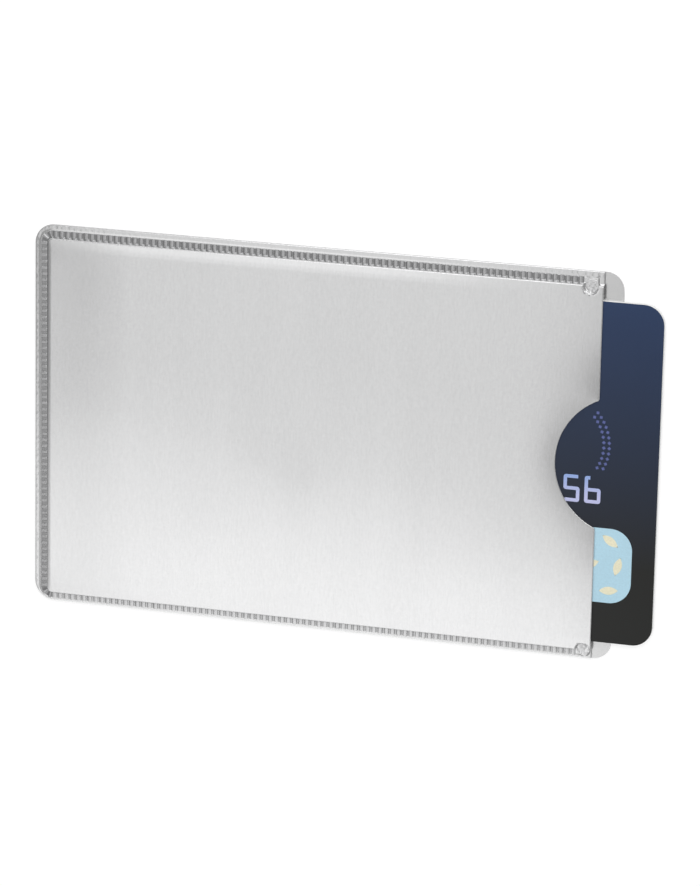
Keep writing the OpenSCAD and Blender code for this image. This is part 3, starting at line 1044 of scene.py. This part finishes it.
@dataclass
class FrontLaminate:
    """Three films of the front: silver cover, shielding foil and liner."""

    shape: FilmShape
    cover_t: float = 0.12
    foil_t: float = 0.03
    liner_t: float = 0.05
    slack: float = 0.002
    knurl_edge: tuple[float, float] = (-0.25, -0.1)
    # Where and how strongly the painted shade lies along the film's bend beside the end seam.
    bend_start: tuple[float, float] = (1.12, 1.2)
    bend_end: tuple[float, float] = (1.4, 1.52)
    bend_corner: tuple[float, float] = (1.0, 2.0)
    bend_shade_range: tuple[float, float] = (0.3, 0.8)

    def layer(self, name: str, above: float, thickness: float) -> bpy.types.Object:
        """Builds one closed layer under the film's upper face.

        Args:
            name: name of the piece.
            above: thickness of what lies over it.
            thickness: thickness of the layer.

        Returns:
            The new piece.
        """
        bm = bmesh.new()
        self.shape.sheet(bm)
        bmesh.ops.translate(bm, verts=bm.verts[:], vec=(0.0, 0.0, -above * MM))
        thicken(bm, thickness)
        return to_object(bm, name)

    def knurled(self, x: float, y: float, _z: float) -> float:
        """How much of the flange's knurl shows at a place."""
        return 1.0 - smooth_step(min(self.shape.plan.gaps(x, y)), *self.knurl_edge)

    def bend_shade(self, x: float, y: float, _z: float) -> float:
        """How much painted shade the film's bend beside the end seam gets at a place: a dark line for the
        shaded wall where the film climbs out of the channel, darker towards the upper side.

        Args:
            x: place along the sleeve.
            y: place across it.

        Returns:
            The share of the darkest painted shade.
        """
        plan = self.shape.plan
        end, top, low = plan.gaps(x, y)
        across = end / plan.seam_w
        line = smooth_step(across, *self.bend_start) * (1.0 - smooth_step(across, *self.bend_end))
        least, most = self.bend_shade_range
        tone = least + (most - least) * smooth_step(y, plan.film.low.y, plan.film.high.y)
        return line * smooth_step(min(top, low), *self.bend_corner) * tone

    def build(self) -> None:
        """Builds and dresses the three films."""
        cover = self.layer("silver_front_film", 0.0, self.cover_t - self.slack)
        store_mask(cover, FLANGE_MASK, self.knurled)
        # Painted shade: a dark line along the film's bend beside the end seam.
        store_mask(cover, PAINTED_SHADE_MASK, self.bend_shade)
        place_piece(cover, FILM, "sleeve", "front_cover_film")
        foil = self.layer("front_foil", self.cover_t, self.foil_t - self.slack)
        place_piece(foil, FOIL, "sleeve", "front_shield_foil")
        liner = self.layer("front_liner", self.cover_t + self.foil_t, self.liner_t)
        place_piece(liner, LINER, "sleeve", "front_liner_film")


@dataclass
class BackLaminate:
    """Three films of the back, whose tab shows past the mouth, with the seams' imprint underneath."""

    plan: Plan
    cover_t: float = 0.12
    tab_r: float = 2.8
    imprint: float = 0.05
    # Share of painted shade at the bottom of the seams' imprint.
    imprint_shade: float = 0.6
    edge_round: float = 0.02
    slack: float = 0.002
    corner_steps: int = 8
    least_r: float = 0.3
    tab_inset: float = 0.5
    rib_steps: int = 4
    valley_share: float = 0.4
    stop_blend: float = 0.2
    pitch: float = 1.0

    def rings(self) -> list[tuple[Ring, float]]:
        """Rings from the film's edge to the channel's inner side, each with its distance from the tab's end.

        Returns:
            The rings in order, whose heights are those of the film's underside.
        """
        plan = self.plan
        flange = ((0.0, 1.0), (0.06, 0.3), (0.15, 0.0), (0.5, 0.0), (0.97, 0.0))
        channel = ((0.05, 0.2), (0.12, 0.85), (0.2, 1.0), (0.5, 1.0), (0.8, 1.0), (0.88, 0.85), (0.95, 0.2),
                   (1.0, 0.0), (1.2, 0.0))
        rings = []
        for share, rise in flange:
            rings.append((Ring.outer(plan, share, rise * self.edge_round, 0.0), self.tab_inset * share))
        for inset, depth in channel:
            run = inset * plan.seam_w
            radius = max(self.least_r, plan.seam_r - run)
            rings.append((Ring.inner(plan, run, radius, self.imprint * depth, 0.0), self.tab_inset + run))
        return rings

    def outline(self, ring: Ring, tab_in: float) -> list[tuple[float, float]]:
        """Closed line of one ring, which starts on the tab's upper corner and runs round the closed end.

        Args:
            ring: the ring.
            tab_in: its distance from the tab's end.

        Returns:
            Its points in order, with the first one again at the end.
        """
        back = self.plan.back
        left, right = back.low.x + ring.end, back.high.x - tab_in
        low, top = back.low.y + ring.low, back.high.y - ring.top
        tab_r = max(self.least_r, self.tab_r - tab_in)
        along = round((back.high.x - back.low.x) * self.rib_steps / self.pitch)
        across = round((back.high.y - back.low.y) * self.rib_steps / self.pitch)
        corners = (
            (left + ring.radius, top - ring.radius, ring.radius, 90, along),
            (left + ring.radius, low + ring.radius, ring.radius, 180, across),
            (right - tab_r, low + tab_r, tab_r, 270, along),
            (right - tab_r, top - tab_r, tab_r, 0, across),
        )
        points = [(right - tab_r, top)]
        for x, y, radius, start, steps in corners:
            turned = [math.radians(start + 90 * i / self.corner_steps) for i in range(self.corner_steps + 1)]
            arc = [(x + radius * math.cos(a), y + radius * math.sin(a)) for a in turned]
            last = Vector(points[-1])
            points += [tuple(last.lerp(Vector(arc[0]), i / steps)) for i in range(1, steps)] + arc
        return points

    def cover(self) -> bpy.types.Object:
        """Builds the silver film with the shallow imprint of the welding wheel.

        Returns:
            The new piece.
        """
        rings = self.rings()
        lines = [self.outline(ring, tab_in) for ring, tab_in in rings]
        stop = self.plan.stop_x

        def place(step: int, number: int) -> Triple:
            """Point of the film's underside.

            Args:
                step: number of the point along its ring.
                number: number of the ring, from the outside in.

            Returns:
                The point in millimetres.
            """
            ring = rings[number][0]
            x, y = lines[number][step]
            z = ring.sealed_z
            if ring.end > self.plan.flange_end:
                rib = 1.0 if step % self.rib_steps < self.rib_steps // 2 else self.valley_share
                z *= rib * (1.0 - smooth_step(x, stop - self.stop_blend, stop + self.stop_blend))
            return x, y, z

        bm = bmesh.new()
        map_grid(bm, len(lines[0]) - 1, len(rings) - 1, place)
        bmesh.ops.remove_doubles(bm, verts=bm.verts[:], dist=MERGE_GAP * MM)
        rim = [edge for edge in bm.edges if edge.is_boundary and abs(edge.verts[0].co.z) < MERGE_GAP * MM]
        bmesh.ops.holes_fill(bm, edges=rim, sides=0)
        close_flat(bm, self.cover_t - self.slack)
        piece = to_object(bm, "silver_back_film")
        # Painted shade in the recess of the seams' imprint.
        store_mask(piece, PAINTED_SHADE_MASK, self.imprint_shade_at)
        return piece

    def imprint_shade_at(self, _x: float, _y: float, z: float) -> float:
        """Painted shade at a height, from none on the film's flat underside to the most at the bottom of the
        imprint.
        """
        return self.imprint_shade * smooth_step(z, self.edge_round, self.imprint)

    def build(self) -> None:
        """Builds the silver film and dresses the other two."""
        place_piece(self.cover(), FILM, "sleeve", "back_cover_film")
        for node, finish in (("back_shield_foil", FOIL), ("back_liner_film", LINER)):
            dress(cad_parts[node], finish)


# Weld seams


@dataclass(frozen=True)
class SeamRun:
    """Centre line of a seam: a start, a heading, and straight and curved stretches."""

    start: tuple[float, float]
    heading: float
    stretches: tuple[tuple[float, float], ...]

    @property
    def length(self) -> float:
        """Length of the whole line."""
        return sum(length for length, _ in self.stretches)

    def at(self, distance: float) -> Triple:
        """Place and heading at a distance along the line.

        Args:
            distance: distance from the start.

        Returns:
            x, y and the heading in radians.
        """
        x, y = self.start
        heading = self.heading
        for length, turn in self.stretches:
            run = min(distance, length)
            if turn:
                radius = length / turn
                centre_x, centre_y = x - radius * math.sin(heading), y + radius * math.cos(heading)
                heading += turn * run / length
                x, y = centre_x + radius * math.sin(heading), centre_y - radius * math.cos(heading)
            else:
                x, y = x + run * math.cos(heading), y + run * math.sin(heading)
            distance -= run
            if distance <= 0:
                break
        return x, y, heading


@dataclass(frozen=True)
class Imprint:
    """Marks of the welding wheel's teeth on one seam.

    Half a tooth's width, how much painted shade a groove gets and the share of the full height that a tooth
    keeps.
    """

    half: float
    groove_shade: float
    rise: float = 1.0


@dataclass
class WeldSeams:
    """Ribbed imprint of the welding wheel on the floor of the channel."""

    plan: Plan
    pitch: float = 1.0
    rib_h: float = 0.085
    base_z: float = 0.4
    bead_t: float = 0.02
    sunk: float = 0.01
    side_share: float = 0.4
    crown_power: int = 12
    groove_top: tuple[float, float] = (0.1, 0.6)
    steps_across: int = 10
    jitter: float = 0.03
    height_spread: float = 0.35
    flank: tuple[tuple[float, float], ...] = ((0.0, 1.0), (0.06, 0.85), (0.09, 0.45), (0.12, 0.0))

    def tooth_line(self, length: float, imprint: Imprint, seed: int) -> list[tuple[float, float]]:
        """Side view of the seam, with the blocks that the welding wheel's teeth leave standing.

        Args:
            length: length of the seam.
            imprint: marks of the teeth on it.
            seed: start of the random draws.

        Returns:
            Places along the seam in order, each with its height.
        """
        tooth = [(-imprint.half - off, share) for off, share in reversed(self.flank)]
        tooth += [(imprint.half + off, share) for off, share in self.flank]
        draw = random.Random(seed)
        count = round(length / self.pitch)
        first = (length - (count - 1) * self.pitch) / 2
        line = [(0.0, 0.0)]
        for i in range(count):
            middle = first + i * self.pitch + draw.uniform(-self.jitter, self.jitter)
            height = self.rib_h * imprint.rise * (1.0 - draw.uniform(0.0, self.height_spread))
            line += [(middle + off, height * share) for off, share in tooth
                     if line[-1][0] < middle + off < length]
        return line + [(length, 0.0)]

    def strip(self, name: str, run: SeamRun, imprint: Imprint, seed: int) -> bpy.types.Object:
        """Builds the bead along one run.

        Args:
            name: name of the piece.
            run: its centre line.
            imprint: marks of the teeth on it.
            seed: start of the random draws.

        Returns:
            The new piece.
        """
        line = self.tooth_line(run.length, imprint, seed)
        width = self.plan.seam_w - self.plan.bead_gap

        def place(step: int, row: int) -> Triple:
            """Point of the bead's upper face.

            Args:
                step: number of the point along the seam.
                row: number of the line across it.

            Returns:
                The point in millimetres.
            """
            along, height = line[step]
            side = 2.0 * row / self.steps_across - 1.0
            x, y, heading = run.at(along)
            off = side * width / 2
            crown = self.side_share + (1.0 - self.side_share) * (1.0 - side**self.crown_power)
            return (x - off * math.sin(heading), y + off * math.cos(heading),
                    self.base_z + self.bead_t * crown + height)

        def groove_shade(_x: float, _y: float, z: float) -> float:
            """Painted shade of the groove between two teeth at a height."""
            low, high = (share * self.rib_h * imprint.rise for share in self.groove_top)
            return imprint.groove_shade * (1.0 - smooth_step(z - self.base_z - self.bead_t, low, high))

        bm = bmesh.new()
        map_grid(bm, len(line) - 1, self.steps_across, place)
        close_flat(bm, self.base_z - self.sunk)
        piece = to_object(bm, name, crease=60.0)
        # Painted shade: the low parts between the teeth are darkened.
        store_mask(piece, GROOVE_SHADE_MASK, groove_shade)
        return piece

    def build(self) -> None:
        """Builds and dresses the three seams."""
        plan = self.plan
        radius = plan.seam_r - plan.seam_w / 2
        corner = (radius * math.pi / 2, math.pi / 2)
        top, end, low = plan.seam_top, plan.seam_end, plan.seam_low
        end_x = end.low.x - plan.bead_gap + plan.seam_w / 2
        down = ((top.middle.y - low.middle.y) - 2 * radius, 0.0)
        top_run = SeamRun((top.low.x, top.middle.y), 0.0, ((top.high.x - top.low.x, 0.0),))
        end_run = SeamRun((end_x + radius, top.middle.y), math.pi, (corner, down, corner))
        low_run = SeamRun((top.low.x, low.middle.y), 0.0, ((low.high.x - top.low.x, 0.0),))
        seams = (
            ("seam_top", top_run, Imprint(half=0.22, groove_shade=1.0), WELD),
            ("seam_end", end_run, Imprint(half=0.09, groove_shade=0.85), WELD),
            ("seam_low", low_run, Imprint(half=0.22, groove_shade=1.0, rise=0.55), PAINTED_LIGHT_WELD),
        )
        for seed, (name, run, imprint, finish) in enumerate(seams):
            place_piece(self.strip(name, run, imprint, seed), finish, "sleeve", f"weld_{name}")


@dataclass
class TackWelds:
    """Two round spots where the films are melted through beside the mouth."""

    plan: Plan
    rim: float = 0.14
    bottom_z: float = 0.3
    roughness: float = 0.045
    lump: float = 0.36
    steps_out: int = 12
    steps_rim: int = 4
    steps_round: int = 56

    def spot(self, name: str, place: Place) -> bpy.types.Object:
        """Builds one melted spot.

        Args:
            name: name of the piece.
            place: place of its solid.

        Returns:
            The new piece.
        """
        radius = (place.high.x - place.low.x) / 2
        top = place.high.z - self.roughness
        profile = [(0.0, top)]
        profile += [(r, top) for r in even_steps(0.0, radius - self.rim, self.steps_out)]
        profile += [(radius - self.rim * (1 - math.sin(a)), top - self.rim * (1 - math.cos(a)) / 2)
                    for a in even_steps(0.0, math.pi / 2, self.steps_rim)]
        profile += [(radius, self.bottom_z), (0.0, self.bottom_z)]
        bm = bmesh.new()
        verts = [bm.verts.new(Vector((r, 0.0, z)) * MM) for r, z in profile]
        edges = [bm.edges.new(pair) for pair in zip(verts, verts[1:])]
        bmesh.ops.spin(bm, geom=verts + edges, cent=(0, 0, 0), axis=(0, 0, 1), dvec=(0, 0, 0),
                       angle=2 * math.pi, steps=self.steps_round, use_merge=True)
        bmesh.ops.remove_doubles(bm, verts=bm.verts[:], dist=MERGE_GAP * MM)
        for vert in bm.verts:
            if vert.co.z > (top - self.rim) * MM:
                seed = Vector((vert.co.x, vert.co.y, place.middle.y * MM)) / (self.lump * MM)
                vert.co.z += noise.noise(seed) * self.roughness * MM
        bmesh.ops.translate(bm, verts=bm.verts[:], vec=(place.middle.x * MM, place.middle.y * MM, 0.0))
        return to_object(bm, name, crease=60.0)

    def build(self) -> None:
        """Builds and dresses both spots."""
        for node, place in zip(("tack_weld_top", "tack_weld_low"), self.plan.tacks):
            place_piece(self.spot(node.replace("weld", "spot"), place), TACK, "sleeve", node)


# Card


class Glyph(Enum):
    """Pen strokes of each digit as corners of a grid two wide and three high, named from the top.

    A seventh spot, g, lies on the top line a little way in from its left end.
    """

    ZERO = ("abfea",)
    ONE = ("bf",)
    TWO = ("abdcef",)
    THREE = ("abfe", "cd")
    FOUR = ("acd", "bf")
    FIVE = ("bacdfe",)
    SIX = ("gaefdc",)
    SEVEN = ("abf",)
    EIGHT = ("abfea", "cd")
    NINE = ("dcabfe",)


@dataclass
class ChipCard:
    """Payment card with raised digits, a coloured patch with leaves, dots, a chip and a stripe."""

    digits: Place = field(default_factory=lambda: Place.of("card_digits"))
    patch: Place = field(default_factory=lambda: Place.of("card_colour_patch"))
    face: Place = field(default_factory=lambda: Place.of("card_front_print"))
    digit_w: float = 2.55
    digit_pitch: float = 3.3
    stroke_w: float = 0.55
    corner: float = 0.15
    corner_steps: int = 4
    straight: float = 0.99
    hook: float = 0.3
    digit_count: int = 12
    first_digit: int = 5
    pair_places: int = 3
    digit_fade: float = 1.0
    leaf_l: float = 3.0
    leaf_w: float = 1.3
    leaf_ink: float = 0.018
    leaf_steps: tuple[int, int] = (10, 4)
    leaf_edge: float = 0.4
    leaf_fold: float = 0.5
    leaf_rows: int = 3
    row_leaves: int = 4
    leaf_start: float = 0.6
    row_shift: float = 0.3
    first_turn: float = 35.0
    turn_along: float = 50.0
    turn_down: float = 70.0
    dark_band: float = 12.0
    navy: Colour = (0.021, 0.041, 0.1)
    black: Colour = (0.0125, 0.013, 0.012)
    digit_blue: Colour = (0.27, 0.39, 0.72)
    digit_lavender: Colour = (0.5, 0.52, 0.78)

    def dress_solids(self) -> None:
        """Gives the card's carried solids their finishes."""
        face = FadeFinish(
            "navy_print", "card_face", self.navy, roughness=0.3, specular=0.28, tone_spread=0.03,
            gloss_spread=0.012, bump_strength=0.05, far_colour=self.black,
            fade_start=self.face.high.y, fade_end=self.face.low.y + self.dark_band,
        )
        finishes = {
            "card_front_print": face, "card_back_print": CARD_BACK, "card_front_core": CARD_CORE,
            "card_back_core": CARD_CORE, "card_inlay": INLAY, "card_antenna": COPPER,
            "card_chip_contacts": GOLD, "card_chip_carrier": CARRIER, "card_chip_resin": RESIN,
            "card_magnetic_stripe": STRIPE, "card_signature_panel": PANEL,
            "card_colour_patch": PATCH_INK, "card_dots": DOT_INK,
        }
        for node, finish in finishes.items():
            dress(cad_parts[node], finish)

    def stroke_points(self, corners: str, origin: tuple[float, float]) -> list[Vector]:
        """Points of one pen stroke with its corners rounded.

        Args:
            corners: letters of the corners that it joins.
            origin: lower left corner of the digit's strokes.

        Returns:
            The points in millimetres.
        """
        width = self.digit_w - self.stroke_w
        height = self.digits.high.y - self.digits.low.y - self.stroke_w
        spots = {
            letter: Vector((origin[0] + (i % 2) * width, origin[1] + (2 - i // 2) * height / 2, 0.0))
            for i, letter in enumerate("abcdef")
        }
        spots["g"] = spots["a"].lerp(spots["b"], self.hook)
        path = [spots[letter] for letter in corners]
        closed = path[0] == path[-1]
        ring = path[:-1] if closed else path
        points: list[Vector] = [] if closed else [path[0]]
        inner = range(len(ring)) if closed else range(1, len(ring) - 1)
        for i in inner:
            before, here, after = ring[i - 1], ring[i], ring[(i + 1) % len(ring)]
            into, out = (here - before).normalized(), (after - here).normalized()
            if into.dot(out) > self.straight:
                points.append(here)
                continue
            for t in (0.0, *even_steps(0.0, 1.0, self.corner_steps)):
                a, b = here - into * self.corner * (1 - t), here + out * self.corner * t
                points.append(a.lerp(b, t))
        return points + ([points[0]] if closed else [path[-1]])

    def build_digits(self) -> None:
        """Builds the raised digits as flat pen strokes in six pairs."""
        curve = bpy.data.curves.new("raised_digits", "CURVE")
        curve.dimensions = "3D"
        curve.bevel_depth = self.stroke_w / 2 * MM
        curve.bevel_resolution = 2
        curve.use_fill_caps = True
        low = self.digits.low.y + self.stroke_w / 2
        for place in range(self.digit_count):
            pair, i = divmod(place, 2)
            left = self.digits.low.x + (pair * self.pair_places + i) * self.digit_pitch + self.stroke_w / 2
            for corners in list(Glyph)[(place + self.first_digit) % len(Glyph)].value:
                points = self.stroke_points(corners, (left, low))
                spline = curve.splines.new("POLY")
                closed = (points[0] - points[-1]).length < MERGE_GAP
                kept = points[:-1] if closed else points
                spline.points.add(len(kept) - 1)
                for target, point in zip(spline.points, kept):
                    target.co = (*(point * MM), 1.0)
                spline.use_cyclic_u = closed
        source = bpy.data.objects.new("digit_strokes", curve)
        bpy.context.scene.collection.objects.link(source)
        bm = bmesh.new()
        bm.from_mesh(source.evaluated_get(bpy.context.evaluated_depsgraph_get()).to_mesh())
        bpy.data.objects.remove(source)
        rise = self.digits.high.z - self.digits.low.z
        flatten = Matrix.Diagonal((1.0, 1.0, rise / (self.stroke_w / 2), 1.0))
        bmesh.ops.transform(bm, matrix=flatten, verts=bm.verts[:])
        bmesh.ops.translate(bm, verts=bm.verts[:], vec=(0.0, 0.0, self.digits.low.z * MM))
        ink = FadeFinish(
            "lavender_ink", "digit_ink", self.digit_blue, roughness=0.4, far_colour=self.digit_lavender,
            fade_start=self.digits.high.y, fade_end=self.digits.low.y + self.digit_fade,
        )
        place_piece(to_object(bm, "raised_digits"), ink, "card", "card_digits")

    def build_leaves(self) -> None:
        """Builds the rows of leaves on the patch, each bent over its middle rib."""
        bm = bmesh.new()
        length, height = self.patch.high.x - self.patch.low.x, self.patch.high.y - self.patch.low.y
        top = self.patch.high.z
        places = self.row_leaves + 1 - self.leaf_start
        for row in range(self.leaf_rows):
            for i in range(self.row_leaves):
                x = self.patch.low.x + length * (i + self.leaf_start + self.row_shift * (row % 2)) / places
                y = self.patch.low.y + height * (row + 0.5) / self.leaf_rows
                turn = self.first_turn + self.turn_along * i + self.turn_down * row
                self.leaf(bm, Vector((x, y, top)), math.radians(turn))
        place_piece(to_object(bm, "patch_leaves"), LEAF_INK, "card", "card_patch_leaves")

    def leaf(self, bm: bmesh.types.BMesh, place: Vector, turn: float) -> None:
        """Adds one leaf.

        Args:
            bm: mesh that takes it.
            place: its middle.
            turn: its turn about z.
        """
        columns, rows = self.leaf_steps
        part = bmesh.new()

        def point(column: int, row: int) -> Triple:
            """Point of the leaf's upper face.

            Args:
                column: number of the line across the leaf.
                row: number of the line along it.

            Returns:
                The point in millimetres.
            """
            u, v = 2.0 * column / columns - 1.0, 2.0 * row / rows - 1.0
            across = v * self.leaf_w / 2 * (1.0 - u * u)
            rise = self.leaf_ink * (1.0 - self.leaf_fold + self.leaf_fold * abs(v))
            return u * self.leaf_l / 2, across, rise

        map_grid(part, columns, rows, point)
        thicken(part, self.leaf_ink * self.leaf_edge)
        matrix = Matrix.Translation(place * MM) @ Matrix.Rotation(turn, 4, "Z")
        bmesh.ops.transform(part, matrix=matrix, verts=part.verts[:])
        scratch = bpy.data.meshes.new("leaf")
        part.to_mesh(scratch)
        part.free()
        bm.from_mesh(scratch)
        bpy.data.meshes.remove(scratch)

    def build(self) -> None:
        """Builds and dresses the card."""
        self.dress_solids()
        self.build_digits()
        self.build_leaves()


# Studio


@dataclass(frozen=True)
class Lamp:
    """Flat soft light, level or turned towards the sleeve, in metres."""

    name: str
    place: Triple
    size: tuple[float, float]
    glow: float
    level: bool = False
    turn: float = 0.0

    def build(self) -> None:
        """Adds the light with the power that gives its face this glow."""
        data = bpy.data.lights.new(self.name, "AREA")
        data.shape = "RECTANGLE"
        data.size, data.size_y = self.size
        data.energy = self.glow * math.pi * self.size[0] * self.size[1]
        made = bpy.data.objects.new(self.name, data)
        made.location = self.place
        made.visible_camera = False
        if self.level:
            made.rotation_euler = (0.0, 0.0, math.radians(self.turn))
        else:
            made.rotation_mode = "QUATERNION"
            made.rotation_quaternion = Vector(self.place).to_track_quat("Z", "Y")
        bpy.context.scene.collection.objects.link(made)


LOWER_SIDE = ((-0.3, 0.04), (-0.3155, 0.155), (-0.3255, 0.09), (-0.3355, 0.085), (-0.3455, 0.05))


@dataclass
class Studio:
    """Pale floor, soft lights and the camera."""

    floor_size: float = 6.0
    floor_z: float = -0.02
    world_strength: float = 0.35
    lamps: tuple[Lamp, ...] = (
        Lamp("overhead_upper", (-0.09875, 0.0225, 0.35), (0.1505, 0.195), 0.66, level=True),
        Lamp("overhead_middle", (-0.105, -0.1, 0.35), (0.151, 0.05), 0.66, level=True),
        Lamp("overhead_lower", (-0.10175, -0.2125, 0.35), (0.1565, 0.175), 0.66, level=True),
        *(Lamp(f"lower_side_{i}", (-0.1, y, 0.359 + 0.001 * i), (0.3, 0.4), glow, level=True, turn=-4.7)
          for i, (y, glow) in enumerate(LOWER_SIDE)),
        Lamp("edge_band_0", (-0.12, 0.035, 0.37), (0.1, 0.15), 0.14, level=True),
        Lamp("edge_band_1", (-0.12, 0.055, 0.371), (0.1, 0.14), 0.15, level=True),
        Lamp("mouth_strip", (0.6, 0.0, 0.16), (0.9, 0.16), 1.2),
        Lamp("near_strip", (0.0, -0.6, 0.2), (1.2, 0.25), 1.2),
        Lamp("upper_side", (0.12, 0.38, 0.46), (0.7, 0.4), 2.7),
        Lamp("low_strip", (0.15, 0.6, 0.14), (1.2, 0.2), 1.2),
    )
    floor_colour: float = 0.45
    floor_roughness: float = 0.9
    floor_glow: float = 0.62
    camera_place: Triple = (181.02, 186.71, 630.92)
    camera_right: Triple = (0.961266, 0.020103, -0.274889)
    camera_up: Triple = (-0.093987, 0.961468, -0.258352)
    focal_pixels: float = 4396.5
    image_height: float = 886.0
    sensor: float = 36.0

    def build_floor(self) -> None:
        """Builds the floor that the sleeve lies on, which lets the view from below through."""
        bm = bmesh.new()
        bmesh.ops.create_grid(bm, x_segments=1, y_segments=1, size=self.floor_size / 2)
        bmesh.ops.translate(bm, verts=bm.verts[:], vec=(0.0, 0.0, self.floor_z * MM))
        floor = to_object(bm, "floor")
        made = bpy.data.materials.new("pale_floor")
        made.use_nodes = True
        shader = made.node_tree.nodes["Principled BSDF"]
        graph = Graph(made.node_tree)
        path = graph.add("LightPath")
        seen = graph.maths("MAXIMUM", path.outputs["Is Camera Ray"], path.outputs["Is Glossy Ray"])
        seen = graph.maths("MAXIMUM", seen, path.outputs["Is Transmission Ray"])
        graph.fill(shader, Base_Color=(*[self.floor_colour] * 3, 1.0), Roughness=self.floor_roughness,
                   Specular_IOR_Level=0.0, Emission_Color=(1.0, 1.0, 1.0, 1.0),
                   Emission_Strength=graph.maths("MULTIPLY", seen, self.floor_glow))
        mixed = graph.add("MixShader")
        graph.feed(mixed.inputs[0], graph.add("NewGeometry").outputs["Backfacing"])
        graph.feed(mixed.inputs[1], shader.outputs[0])
        graph.feed(mixed.inputs[2], graph.add("BsdfTransparent").outputs[0])
        graph.feed(made.node_tree.nodes["Material Output"].inputs["Surface"], mixed.outputs[0])
        floor.data.materials.append(made)

    def build_world(self) -> None:
        """Lights the scene evenly from all round."""
        world = bpy.data.worlds.new("studio")
        world.use_nodes = True
        background = world.node_tree.nodes["Background"]
        background.inputs["Color"].default_value = (1.0, 1.0, 1.0, 1.0)
        background.inputs["Strength"].default_value = self.world_strength
        bpy.context.scene.world = world

    def build_camera(self) -> None:
        """Adds the camera at the photograph's angle."""
        data = bpy.data.cameras.new("camera")
        data.sensor_fit = "VERTICAL"
        data.sensor_width = data.sensor_height = self.sensor
        data.lens = self.focal_pixels * self.sensor / self.image_height
        data.clip_start, data.clip_end = 0.01, 20.0
        made = bpy.data.objects.new("camera", data)
        right, up = Vector(self.camera_right), Vector(self.camera_up)
        turn = Matrix((right, up, right.cross(up))).transposed()
        made.matrix_world = Matrix.Translation(Vector(self.camera_place) * MM) @ turn.to_4x4()
        bpy.context.scene.collection.objects.link(made)
        bpy.context.scene.camera = made

    def build(self) -> None:
        """Builds the studio."""
        bpy.context.scene.view_settings.view_transform = "Standard"
        self.build_floor()
        self.build_world()
        self.build_camera()
        for lamp in self.lamps:
            lamp.build()
        log.info("studio: %d lamps", len(self.lamps))


def main() -> None:
    """Builds the sleeve, the card and the studio in order."""
    logging.basicConfig(level=logging.INFO, format="%(name)s %(message)s")
    plan = Plan()
    for part in (FrontLaminate(FilmShape(plan)), BackLaminate(plan), WeldSeams(plan), TackWelds(plan),
                 ChipCard(), Studio()):
        part.build()
        log.info("%s built", type(part).__name__)


if __name__ == "__main__":
    main()
